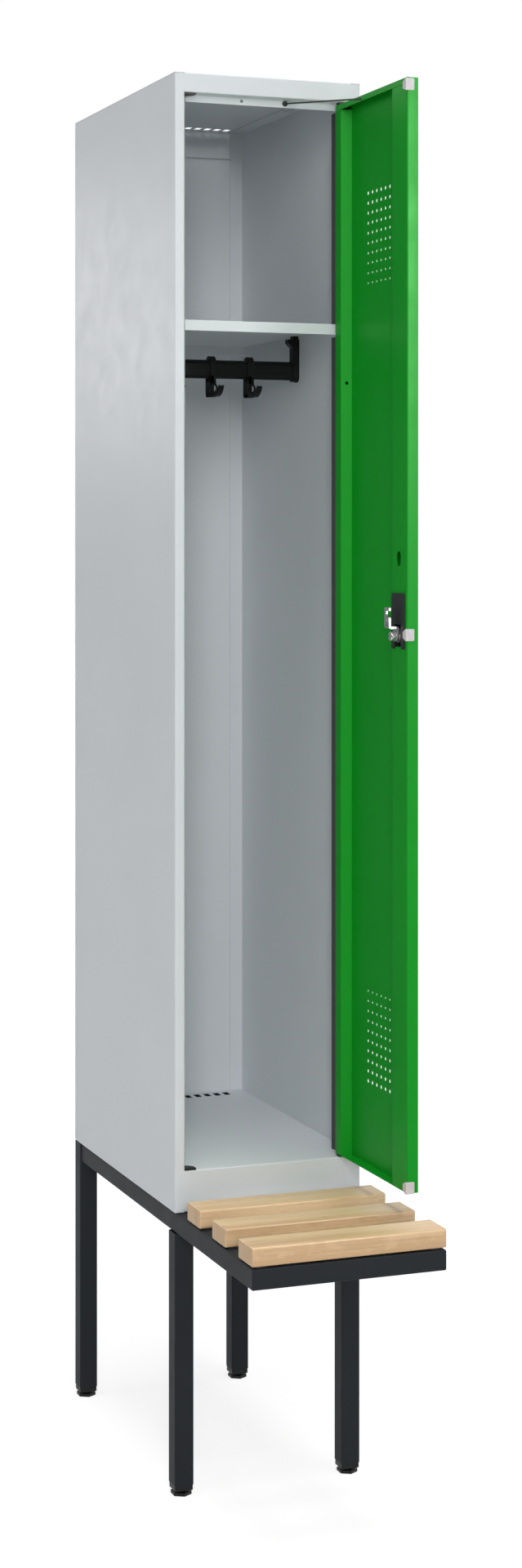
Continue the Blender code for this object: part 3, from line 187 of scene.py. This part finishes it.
# Limiter cord
CORD_BUTTON = (0.0349, -0.0763, 2.0900)
CORD_HOLE = (0.1144, -0.1803, 2.0849)
CORD_RADIUS = 0.00125
CORD_TAIL = 0.003
CORD_STEPS = 24
CORD_SIDES = 12
CORD_SHARP_DEGREES = 50


# Node materials


class Shade:
    """A node material under construction."""

    def __init__(self, name):
        self.material = bpy.data.materials.new(name)
        self.material.use_nodes = True
        self.tree = self.material.node_tree
        self.surface = self.tree.nodes["Principled BSDF"]

    def add(self, kind, **values):
        node = self.tree.nodes.new(kind)
        for key, value in values.items():
            if hasattr(node, key):
                setattr(node, key, value)
            else:
                self.feed(node, key.replace("_", " "), value)
        return node

    def feed(self, node, name, value):
        socket = node.inputs[name] if isinstance(name, int) else self.find(node, name)
        if isinstance(value, bpy.types.NodeSocket):
            self.tree.links.new(value, socket)
        else:
            socket.default_value = value

    def find(self, node, name):
        return next(s for s in node.inputs if s.name.lower() == name.lower())

    def set(self, **values):
        for key, value in values.items():
            self.feed(self.surface, key.replace("_", " "), value)

    def place(self, scale=(1, 1, 1), offset=(0, 0, 0), turn=(0, 0, 0)):
        """Coordinates of the object's own space, stretched and moved."""
        source = self.add("ShaderNodeTexCoord")
        mapping = self.add("ShaderNodeMapping")
        self.feed(mapping, "Vector", source.outputs["Object"])
        self.feed(mapping, "Scale", scale)
        self.feed(mapping, "Location", offset)
        self.feed(mapping, "Rotation", turn)
        return mapping.outputs[0]

    def axis(self, vector, index):
        """One of a vector's three numbers."""
        split = self.add("ShaderNodeSeparateXYZ")
        self.feed(split, 0, vector)
        return split.outputs[index]

    def noise(self, place, scale, detail=3.0, rough=0.5):
        node = self.add("ShaderNodeTexNoise")
        inputs = {"Vector": place, "Scale": scale, "Detail": detail, "Roughness": rough}
        for name, value in inputs.items():
            self.feed(node, name, value)
        return node.outputs["Fac"]

    def remap(self, value, low, high, new_low=0.0, new_high=1.0):
        node = self.add("ShaderNodeMapRange")
        for index, number in enumerate((value, low, high, new_low, new_high)):
            self.feed(node, index, number)
        return node.outputs[0]

    def spread(self, noise, new_low=0.0, new_high=1.0):
        """A noise, whose values lie around a half, stretched to a new range."""
        return self.remap(noise, 0.3, 0.7, new_low, new_high)

    def mix(self, share, first, second, blend="MIX"):
        node = self.add("ShaderNodeMix", data_type="RGBA", blend_type=blend)
        self.feed(node, 0, share)
        self.feed(node, 6, (*first, 1.0) if isinstance(first, tuple) else first)
        self.feed(node, 7, (*second, 1.0) if isinstance(second, tuple) else second)
        return node.outputs[2]

    def calc(self, first, second, operation="ADD"):
        node = self.add("ShaderNodeMath", operation=operation)
        self.feed(node, 0, first)
        self.feed(node, 1, second)
        return node.outputs[0]

    def bump(self, height, depth, below=None):
        node = self.add("ShaderNodeBump", Height=height, Distance=depth, Strength=1.0)
        if below is not None:
            self.feed(node, "Normal", below)
        return node.outputs[0]


def tone(colour, factor):
    return tuple(channel * factor for channel in colour)


def powder_coat(
    name, colour, roughness, gloss=0.5, metal=0.0, grain=1100, cloud=0.02, hollow=None
):
    """Sprayed powder: a fine skin of grains, a slow wave under it and a faint cloud in the colour.

    Faces that look forward behind the plane y = hollow get painted shade: a dark colour
    that stands in for the shade of the hollow under the floor, which shows through the slots.
    """
    shade = Shade(name)
    place = shade.place()
    clouds = shade.noise(place, 3.5, 4)
    tint = shade.mix(shade.spread(clouds), tone(colour, 1 - cloud), tone(colour, 1 + cloud))
    if hollow is not None:
        # Painted shade: forward-looking faces behind the plane get a dark colour for the shade in
        # the hollow
        normal = shade.add("ShaderNodeNewGeometry").outputs["True Normal"]
        behind = shade.remap(shade.axis(place, 1), hollow, hollow + 0.001)
        forward = shade.remap(shade.axis(normal, 1), -0.5, -0.8)
        tint = shade.mix(shade.calc(behind, forward, "MULTIPLY"), tint, PAINTED_HOLLOW_SHADE)
    skin = shade.noise(place, grain, 2)
    wave = shade.noise(place, 90, 2)
    speckle = shade.remap(skin, 0.35, 0.65, 0.985, 1.015)
    grey = shade.add("ShaderNodeCombineColor")
    for channel in range(3):
        shade.feed(grey, channel, speckle)
    shade.set(
        Base_Color=shade.mix(1.0, tint, grey.outputs[0], "MULTIPLY"),
        Specular_IOR_Level=gloss,
        Metallic=metal,
        Roughness=shade.spread(shade.noise(place, 24, 3), roughness - 0.03, roughness + 0.03),
        Normal=shade.bump(skin, 0.00002, below=shade.bump(wave, 0.00006)),
    )
    return shade.material


def moulded(name, colour, roughness, gloss=0.5):
    """Moulded plastic: a fine even grain and slightly worn, smoother patches."""
    shade = Shade(name)
    place = shade.place()
    skin = shade.noise(place, 1600, 2)
    patches = shade.noise(place, 60, 3)
    shade.set(
        Base_Color=shade.mix(shade.spread(patches), tone(colour, 0.9), tone(colour, 1.1)),
        Specular_IOR_Level=gloss,
        Roughness=shade.spread(patches, roughness - 0.06, roughness + 0.06),
        Normal=shade.bump(skin, 0.000015),
    )
    return shade.material


def plated(name, colour, roughness):
    """Plated metal that came out of a tumbler: bright, with faint scratches and dull spots."""
    shade = Shade(name)
    dull = shade.noise(shade.place(), 160, 3)
    scratch = shade.noise(shade.place(scale=(1, 8, 1), turn=(0.4, 0.2, 0.7)), 900, 2)
    shade.set(
        Base_Color=shade.mix(shade.spread(dull), tone(colour, 0.93), tone(colour, 1.05)),
        Metallic=1.0,
        Roughness=shade.spread(dull, roughness - 0.06, roughness + 0.1),
        Normal=shade.bump(scratch, 0.000004),
    )
    return shade.material


def felt(name, colour):
    """A sealing strip: short fibres that lie every way."""
    shade = Shade(name)
    fuzz = shade.noise(shade.place(), 700, 3)
    fibre = shade.noise(shade.place(scale=(1, 1, 0.25)), 2600, 3, 0.7)
    shade.set(
        Base_Color=shade.mix(fuzz, tone(colour, 0.6), tone(colour, 1.6)),
        Roughness=0.85,
        Sheen_Weight=0.15,
        Sheen_Roughness=0.5,
        Normal=shade.bump(fibre, 0.00006),
    )
    return shade.material


def braided(name, colour):
    """A thin braided cord: two sets of strands that cross."""
    shade = Shade(name)
    waves = []
    for lean in (0.6, -0.6):
        wave = shade.add(
            "ShaderNodeTexWave", wave_type="BANDS", bands_direction="DIAGONAL", Scale=420.0,
            Vector=shade.place(turn=(0, 0, 0.92), scale=(1, 1, 1 + lean)),
        )
        waves.append(wave.outputs["Fac"])
    strands = shade.calc(waves[0], waves[1], "MULTIPLY")
    shade.set(
        Base_Color=shade.mix(strands, tone(colour, 0.7), tone(colour, 1.8)),
        Roughness=0.7,
        Sheen_Weight=0.1,
        Normal=shade.bump(strands, 0.00012),
    )
    return shade.material


def beech(name, seed):
    """Steamed beech under clear lacquer: growth bands, fine pores, flecks and a few pin knots."""
    shade = Shade(name)
    drift = (seed * 1.37, seed * 0.61, seed * 0.83)

    def grain(scale, detail, rough=0.5):
        return shade.noise(shade.place(scale=scale, offset=drift), 1.0, detail, rough)

    # Growth bands
    bands = grain((1.6, 30, 30), 3)
    fine = grain((6, 300, 300), 3, 0.6)
    heart = (seed * 0.7, seed * 0.043 - 0.02, -0.47 - seed * 0.011)
    rings = shade.add(
        "ShaderNodeTexWave", wave_type="RINGS", rings_direction="X", Scale=44.0, Distortion=5.0,
        Detail=3.0, Detail_Scale=1.6, Vector=shade.place(scale=(0.5, 1, 1), offset=heart),
    )
    ring = shade.remap(rings.outputs["Fac"], 0.1, 0.9, -0.05, 0.05)
    level = shade.calc(shade.calc(bands, shade.spread(fine, -0.08, 0.08)), ring)
    ramp = shade.add("ShaderNodeValToRGB")
    stops = ramp.color_ramp.elements
    while len(stops) < len(WOOD_BANDS):
        stops.new(0.5)
    for stop, (at, colour) in zip(stops, WOOD_BANDS):
        stop.position = at
        stop.color = (*colour, 1.0)
    shade.feed(ramp, "Fac", level)

    # Pores, flecks, a reddish blush and pin knots
    pore = shade.remap(grain((70, 1300, 1300), 1), 0.64, 0.72)
    fleck = shade.remap(grain((16, 110, 60), 2), 0.64, 0.80, 0.0, 0.45)
    blush = shade.remap(grain((7, 40, 60), 2), 0.55, 0.75, 0.0, 0.4)
    knots = shade.add(
        "ShaderNodeTexVoronoi", Scale=1.0, Vector=shade.place(scale=(7, 24, 24), offset=drift)
    )
    knot = shade.remap(knots.outputs["Distance"], 0.03, 0.1, 0.75, 0.0)
    side_wood = shade.mix(blush, ramp.outputs["Color"], WOOD_BLUSH)
    side_wood = shade.mix(shade.calc(pore, 0.22, "MULTIPLY"), side_wood, WOOD_PORE)
    side_wood = shade.mix(fleck, side_wood, WOOD_FLECK)
    side_wood = shade.mix(knot, side_wood, WOOD_KNOT)

    # End wood on the faces that look along the slat
    normal = shade.add("ShaderNodeNewGeometry").outputs["Normal"]
    end = shade.remap(shade.calc(shade.axis(normal, 0), 0.0, "ABSOLUTE"), 0.85, 0.97)
    end_lines = grain((1, 420, 12), 3, 0.6)
    end_wood = shade.mix(shade.spread(end_lines), WOOD_END_DARK, WOOD_END_LIGHT)

    relief = shade.calc(shade.spread(fine), pore, "SUBTRACT")
    shade.set(
        Base_Color=shade.mix(end, side_wood, end_wood),
        Roughness=shade.spread(bands, 0.40, 0.5),
        Coat_Weight=0.2,
        Coat_Roughness=0.25,
        Normal=shade.bump(relief, 0.00003),
    )
    return shade.material


def dress(node, material):
    """Gives a CAD node its material."""
    thing = NODES[node]
    thing.data.materials.clear()
    thing.data.materials.append(material)


def dress_nodes():
    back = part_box("floor_threshold")[1].y
    coats = {
        "cabinet_paint": powder_coat("cabinet_paint", GREY, 0.36, gloss=0.12),
        # The threshold's paint carries painted shade in the hollow under the floor
        "floor_paint_painted_shade": powder_coat(
            "floor_paint_painted_shade", GREY, 0.36, gloss=0.12, hollow=back - PAINTED_SHADE_DEPTH
        ),
        "door_paint": powder_coat(
            "door_paint", GREEN, 0.36, gloss=0.11, metal=0.05, grain=1400, cloud=0.03
        ),
        "stand_paint": powder_coat("stand_paint", DARK, 0.55, gloss=0.1, grain=900, cloud=0.05),
        "black_plastic": moulded("black_plastic", BLACK, 0.45, gloss=0.2),
        "seal_rubber": felt("seal_strip", FELT),
        "housing_plastic": moulded("housing_plastic", HOUSING, 0.5, gloss=0.3),
        "bumper_plastic": moulded("bumper_plastic", PALE, 0.5),
        "plated_metal": plated("plated_metal", STEEL, 0.3),
        "cord_cover": braided("cord_cover", BRAID),
        "slat_wood": beech("slat_wood", 0),
    }
    own = {"lock_housing": "housing_plastic", "floor_threshold": "floor_paint_painted_shade"}
    for node, slot in SLOTS.items():
        dress(node, coats[own.get(node, slot)])
    return coats


# Smooth shading


def shading_group(degrees):
    """Geometry nodes that weld a faceted mesh and shade it smooth up to an angle."""
    tree = bpy.data.node_groups.new("soft_shading", "GeometryNodeTree")
    for in_out in ("INPUT", "OUTPUT"):
        tree.interface.new_socket("Geometry", in_out=in_out, socket_type="NodeSocketGeometry")
    start = tree.nodes.new("NodeGroupInput")
    drop = tree.nodes.new("GeometryNodeRemoveAttribute")
    drop.inputs["Name"].default_value = "custom_normal"
    merge = tree.nodes.new("GeometryNodeMergeByDistance")
    merge.inputs["Distance"].default_value = WELD
    angle = tree.nodes.new("GeometryNodeInputMeshEdgeAngle")
    less = tree.nodes.new("FunctionNodeCompare")
    less.data_type = "FLOAT"
    less.operation = "LESS_EQUAL"
    less.inputs[1].default_value = math.radians(degrees)
    edges = tree.nodes.new("GeometryNodeSetShadeSmooth")
    edges.domain = "EDGE"
    faces = tree.nodes.new("GeometryNodeSetShadeSmooth")
    faces.domain = "FACE"
    end = tree.nodes.new("NodeGroupOutput")
    chain = (start, drop, merge, edges, faces, end)
    for before, after in zip(chain, chain[1:]):
        tree.links.new(before.outputs[0], after.inputs[0])
    tree.links.new(angle.outputs["Unsigned Angle"], less.inputs[0])
    tree.links.new(less.outputs[0], edges.inputs["Shade Smooth"])
    return tree


SOFT_SHADING = shading_group(SHARP_DEGREES)


def round_edges(thing, width, segments=3, degrees=35):
    """Rounds the sharp edges, if a width is given, and evens the normals of flat faces."""
    if width:
        edge = thing.modifiers.new("edges", "BEVEL")
        edge.width = width
        edge.segments = segments
        edge.limit_method = "ANGLE"
        edge.angle_limit = math.radians(degrees)
        edge.use_clamp_overlap = True
    even = thing.modifiers.new("normals", "WEIGHTED_NORMAL")
    even.keep_sharp = True
    even.weight = 50


def soften(thing, width):
    """Welds and shades a faceted piece, and can round its sharp edges a little."""
    step = thing.modifiers.new("shading", "NODES")
    step.node_group = SOFT_SHADING
    round_edges(thing, width, segments=2, degrees=40)


# Shapes


def add_object(name, data):
    thing = bpy.data.objects.new(name, data)
    bpy.context.scene.collection.objects.link(thing)
    return thing


def mesh_object(name, shape, material, sharp=SHARP_DEGREES):
    bmesh.ops.recalc_face_normals(shape, faces=shape.faces)
    mesh = bpy.data.meshes.new(name)
    shape.to_mesh(mesh)
    shape.free()
    mesh.materials.append(material)
    mesh.shade_smooth()
    mesh.set_sharp_from_angle(angle=math.radians(sharp))
    return add_object(name, mesh)


def new_piece(name, shape, material, body, replaces=()):
    thing = mesh_object(name, shape, material)
    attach(thing, body)
    if replaces:
        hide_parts(*replaces)
    return thing


def box_shape(low, high):
    low, high = Vector(low), Vector(high)
    shape = bmesh.new()
    bmesh.ops.create_cube(shape, size=1)
    placing = Matrix.Translation((low + high) / 2) @ Matrix.Diagonal((*(high - low), 1))
    bmesh.ops.transform(shape, matrix=placing, verts=shape.verts)
    return shape


def edges_along_x(shape):
    return [e for e in shape.edges if abs((e.verts[0].co - e.verts[1].co).normalized().x) > 0.9]


def round_off(shape, edges, width, segments):
    bmesh.ops.bevel(
        shape, geom=edges, offset=width, segments=segments, profile=0.5, affect="EDGES"
    )


def join_rows(shape, rows, closed):
    """Joins rings of points with faces; closed also joins the last ring to the first."""
    rows = [[shape.verts.new(point) for point in row] for row in rows]
    following = rows[1:] + rows[:1] if closed else rows[1:]
    for lower, upper in zip(rows, following):
        for index in range(len(lower)):
            after = (index + 1) % len(lower)
            shape.faces.new((lower[index], lower[after], upper[after], upper[index]))
    return rows


def sweep(shape, rings):
    """Skins a row of closed rings and closes both ends."""
    rows = join_rows(shape, rings, closed=False)
    shape.faces.new(rows[0])
    shape.faces.new(rows[-1])


def across(axis, point, level):
    """A point of an outline that lies in y and z (axis 0) or in x and z (axis 1)."""
    return (level, *point) if axis == 0 else (point[0], level, point[1])


def plate(shape, outline, low, high, axis=0):
    """Adds a solid plate with an outline across one axis."""
    sweep(shape, [[across(axis, point, level) for point in outline] for level in (low, high)])


def ring_plate(shape, outer, inner, low, high, axis=0):
    """Adds a plate with one hole; both outlines have the same number of points."""
    turns = ((outer, low), (outer, high), (inner, high), (inner, low))
    rows = [[across(axis, point, level) for point in outline] for outline, level in turns]
    join_rows(shape, rows, closed=True)


def oval(half_wide, half_tall, centre, count=40):
    """Points of an ellipse."""
    points = []
    for step in range(count):
        angle = 2 * math.pi * step / count
        points.append(
            (centre[0] + half_wide * math.cos(angle), centre[1] + half_tall * math.sin(angle))
        )
    return points


def straight_oval(half_wide, half_tall, count=28):
    """Points of an upright outline with round ends and straight sides."""
    points = []
    for step in range(count + 1):
        angle = math.pi * step / count
        rise = half_tall - half_wide + half_wide * math.sin(angle)
        points.append((half_wide * math.cos(angle), rise))
    return points + [(-y, -z) for y, z in points]


# Pieces


def slat(node, seed):
    """A slat with round long edges and slightly eased ends."""
    shape = box_shape(*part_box(node))
    round_off(shape, edges_along_x(shape), SLAT_ROUND, 6)
    ends = [
        e for e in shape.edges
        if len(e.link_faces) == 2 and sum(abs(f.normal.x) > 0.9 for f in e.link_faces) == 1
    ]
    round_off(shape, ends, SLAT_END_ROUND, 4)
    wood = beech(f"beech_{node}", seed)
    new_piece(f"{node}_wood", shape, wood, "cabinet", replaces=[node])


def seam_fillers(material):
    """Filler under the paint between header, threshold and jambs, shaped like their folds."""
    roof_low, roof_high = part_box("roof_header")
    floor_low, floor_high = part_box("floor_threshold")
    front = roof_low.y - FILLER_PROUD
    opening = roof_high.x - JAMB_FACE
    under_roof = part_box("side_panel_left")[1].z
    header_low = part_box("bush_top_left")[1].z + FIT
    spans = {
        "header": (header_low, under_roof, (header_low,)),
        "threshold": (floor_low.z, floor_high.z, (floor_low.z, floor_high.z)),
    }
    reach = (opening - FILLER_INWARD, opening + BEND_OUTSIDE + FILLER_OUTWARD)
    for word, side in (("left", -1), ("right", 1)):
        ends = sorted(side * x for x in reach)
        for place, (low, high, rounded) in spans.items():
            shape = box_shape((ends[0], front, low), (ends[1], front + FILLER_DEPTH, high))
            edges = [
                e for e in edges_along_x(shape)
                if abs(e.verts[0].co.y - front) < SAME
                and any(abs(e.verts[0].co.z - z) < SAME for z in rounded)
            ]
            round_off(shape, edges, BEND_OUTSIDE, 4)
            new_piece(f"seam_{place}_{word}", shape, material, "cabinet")


def horn_rings():
    """Cross-sections of the hook's hollow horn, from its root to its tip."""
    rings = []
    for step in range(HORN_STEPS + 1):
        share = step / HORN_STEPS
        angle = math.radians(HORN_START - HORN_TURN * share)
        narrow = max(0.0, share - HORN_NARROW_FROM) / (1 - HORN_NARROW_FROM)
        wide = HOOK_HALF - HORN_NARROWING * narrow
        thick = HORN_THICK - HORN_THINNING * share
        section = (
            (-wide, 0), (wide, 0), (wide, thick), (wide - HORN_RIM, thick),
            (wide - HORN_FLANK, thick - HORN_WELL), (HORN_FLANK - wide, thick - HORN_WELL),
            (HORN_RIM - wide, thick), (-wide, thick),
        )
        ring = []
        for x, depth in section:
            reach = HORN_REACH - depth
            y = HORN_CENTRE[0] + reach * math.cos(angle)
            z = HORN_CENTRE[1] + reach * math.sin(angle)
            ring.append((x, y, z))
        rings.append(ring)
    return rings


def coat_hook(node, material):
    """A moulded hook: loop on the bar, web and back, an upright eye in front, and a hollow horn."""
    shape = bmesh.new()
    sides = (-HOOK_HALF, HOOK_HALF)
    ring_plate(shape, straight_oval(*HOOK_LOOP), straight_oval(*HOOK_LOOP_HOLE), *sides)
    plate(shape, HOOK_WEB, -HOOK_HALF, HOOK_WEB_FACE)
    plate(shape, HOOK_BACK, *sides)
    plate(shape, HOOK_FOOT, *sides)
    plate(shape, HOOK_NECK, *HOOK_NECK_DEPTHS, axis=1)
    ring_plate(shape, oval(*EYE), oval(*EYE_HOLE), *EYE_DEPTHS, axis=1)
    sweep(shape, horn_rings())
    low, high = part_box(node)
    rail_low, rail_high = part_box("coat_rail")
    middle = (rail_low + rail_high) / 2
    middle.x = (low.x + high.x) / 2
    bmesh.ops.translate(shape, vec=middle, verts=shape.verts)
    thing = new_piece(
        f"{node}_moulding", shape, material, f"{node}_body", replaces=[node]
    )
    round_edges(thing, HOOK_EDGE)


def cut_off(shape, point, normal):
    """Takes away what lies beyond a plane and closes the cut."""
    bmesh.ops.bisect_plane(
        shape, geom=shape.verts[:] + shape.edges[:] + shape.faces[:], plane_co=point,
        plane_no=normal.normalized(), clear_outer=True,
    )
    bmesh.ops.holes_fill(shape, edges=[e for e in shape.edges if e.is_boundary], sides=0)


def bumper(node, material):
    """A clip on the door's free edge, with long cut corners and a round-cornered front."""
    low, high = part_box(node)
    leaf_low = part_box("door_leaf")[0]
    inside = leaf_low.x - FIT
    edge = leaf_low.y - FIT
    outline = (
        (low.x, low.y), (high.x, low.y), (high.x, edge), (inside, edge), (inside, high.y),
        (low.x, high.y),
    )
    shape = bmesh.new()
    sweep(shape, [[(x, y, z) for x, y in outline] for z in (low.z, high.z)])
    for up, level in ((1, high.z), (-1, low.z)):
        start = Vector((low.x, low.y + BUMPER_EDGE_LAND, level))
        end = Vector((low.x, high.y, level - up * BUMPER_SLANT))
        along = end - start
        cut_off(shape, start, Vector((0, -along.z, along.y)) * up)
        centre = Vector((high.x - BUMPER_ROUND, 0, level - up * BUMPER_ROUND))
        for degrees in BUMPER_ROUND_DEGREES:
            lean = math.radians(degrees)
            normal = Vector((math.cos(lean), 0, up * math.sin(lean)))
            cut_off(shape, centre + normal * BUMPER_ROUND, normal)
    bmesh.ops.remove_doubles(shape, verts=shape.verts, dist=WELD)
    thing = new_piece(f"{node}_clip", shape, material, "door", replaces=[node])
    round_edges(thing, BUMPER_EDGE)


def cord_route():
    """The cord's straight route from the button's head to the end behind the door's lip."""
    button, hole = Vector(CORD_BUTTON), Vector(CORD_HOLE)
    along = (hole - button).normalized()
    start = button + along * CORD_RADIUS
    end = hole + along * CORD_TAIL
    return [start.lerp(end, step / CORD_STEPS) for step in range(CORD_STEPS + 1)]


def limiter_cord(material):
    """A tube along the route, which takes the place of the CAD cord."""
    route = cord_route()
    along = (route[-1] - route[0]).normalized()
    side = along.cross(Vector((0, 0, 1))).normalized()
    over = side.cross(along)
    spokes = []
    for index in range(CORD_SIDES):
        angle = 2 * math.pi * index / CORD_SIDES
        spokes.append(side * math.cos(angle) + over * math.sin(angle))
    shape = bmesh.new()
    sweep(shape, [[point + spoke * CORD_RADIUS for spoke in spokes] for point in route])
    cord = mesh_object("limiter_cord_braid", shape, material, CORD_SHARP_DEGREES)
    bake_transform(cord)
    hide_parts("limiter_cord")


# Stage, light and camera


def floor_material():
    """A pale floor that keeps a soft shadow near the object and runs out to white."""
    shade = Shade("floor")
    shade.set(Base_Color=FLOOR_COLOUR, Roughness=0.9)
    away = shade.add("ShaderNodeVectorMath", operation="LENGTH")
    shade.feed(away, 0, shade.place())
    glow = shade.add("ShaderNodeEmission")
    rise = shade.remap(away.outputs["Value"], FLOOR_NEAR, FLOOR_FAR, FLOOR_GLOW, 1.0)
    shade.feed(glow, "Strength", rise)
    paths = shade.add("ShaderNodeLightPath").outputs
    seen = shade.calc(paths["Is Camera Ray"], paths["Is Glossy Ray"], "MAXIMUM")
    seen = shade.calc(seen, paths["Is Transmission Ray"], "MAXIMUM")
    pale = shade.add("ShaderNodeBsdfDiffuse", Color=FLOOR_SEEN_COLOUR)
    both = shade.add("ShaderNodeAddShader")
    shade.feed(both, 0, glow.outputs[0])
    shade.feed(both, 1, pale.outputs[0])
    choice = shade.add("ShaderNodeMixShader")
    shade.feed(choice, 0, seen)
    shade.feed(choice, 1, shade.surface.outputs[0])
    shade.feed(choice, 2, both.outputs[0])
    output = shade.tree.nodes["Material Output"]
    shade.tree.links.new(choice.outputs[0], output.inputs["Surface"])
    return shade.material


def stage_floor():
    signs = ((-1, -1), (1, -1), (1, 1), (-1, 1))
    corners = [(a * FLOOR_HALF, b * FLOOR_HALF, -FLOOR_DROP) for a, b in signs]
    mesh = bpy.data.meshes.new("stage_floor")
    mesh.from_pydata(corners, [], [(0, 1, 2, 3)])
    mesh.materials.append(floor_material())
    add_object("stage_floor", mesh)


def studio_world():
    """White to look at, and an even soft light on the object."""
    world = bpy.data.worlds.new("studio")
    bpy.context.scene.world = world
    world.use_nodes = True
    tree = world.node_tree
    tree.nodes.clear()
    paths = tree.nodes.new("ShaderNodeLightPath")
    first = tree.nodes.new("ShaderNodeMath")
    second = tree.nodes.new("ShaderNodeMath")
    first.operation = second.operation = "MAXIMUM"
    light = tree.nodes.new("ShaderNodeBackground")
    light.inputs["Color"].default_value = (*SKY, 1.0)
    light.inputs["Strength"].default_value = WORLD_LIGHT
    white = tree.nodes.new("ShaderNodeBackground")
    white.inputs["Color"].default_value = (1, 1, 1, 1)
    white.inputs["Strength"].default_value = 1.0
    mix = tree.nodes.new("ShaderNodeMixShader")
    output = tree.nodes.new("ShaderNodeOutputWorld")
    link = tree.links.new
    link(paths.outputs["Is Camera Ray"], first.inputs[0])
    link(paths.outputs["Is Glossy Ray"], first.inputs[1])
    link(first.outputs[0], second.inputs[0])
    link(paths.outputs["Is Transmission Ray"], second.inputs[1])
    link(second.outputs[0], mix.inputs[0])
    link(light.outputs[0], mix.inputs[1])
    link(white.outputs[0], mix.inputs[2])
    link(mix.outputs[0], output.inputs[0])


def lamps():
    """Soft lamps, and lamps that only show as highlights in the paint."""
    for name, (place, target, size, power) in (LAMPS | HIGHLIGHTS).items():
        data = bpy.data.lights.new(name, "AREA")
        data.shape = "RECTANGLE"
        data.size, data.size_y = size
        data.energy = power
        lamp = add_object(name, data)
        lamp.location = place
        aim = Vector(target) - Vector(place)
        lamp.rotation_euler = aim.to_track_quat("-Z", "Y").to_euler()
        lamp.visible_camera = False
        lamp.visible_diffuse = name in LAMPS


def camera():
    data = bpy.data.cameras.new("camera")
    data.sensor_width = CAMERA_SENSOR
    data.lens = CAMERA_LENS
    data.shift_x, data.shift_y = CAMERA_SHIFT
    data.clip_end = CAMERA_FAR
    thing = add_object("camera", data)
    thing.location = CAMERA_PLACE
    thing.rotation_euler = (math.radians(90), 0, -math.radians(CAMERA_YAW))
    bpy.context.scene.camera = thing


# The scene

camera()
studio_world()
lamps()
stage_floor()
coats = dress_nodes()
for node_name, node_object in NODES.items():
    soften(node_object, EDGE_WIDTHS.get(node_name, 0.0))
for number, word in enumerate(("front", "middle", "rear"), 1):
    slat(f"slat_{word}", number)
for word in ("left", "middle", "right"):
    coat_hook(f"hook_{word}", coats["black_plastic"])
for word in ("top", "middle", "bottom"):
    bumper(f"door_bumper_{word}", coats["bumper_plastic"])
seam_fillers(coats["cabinet_paint"])
limiter_cord(coats["cord_cover"])

bpy.context.scene.view_settings.view_transform = "Standard"
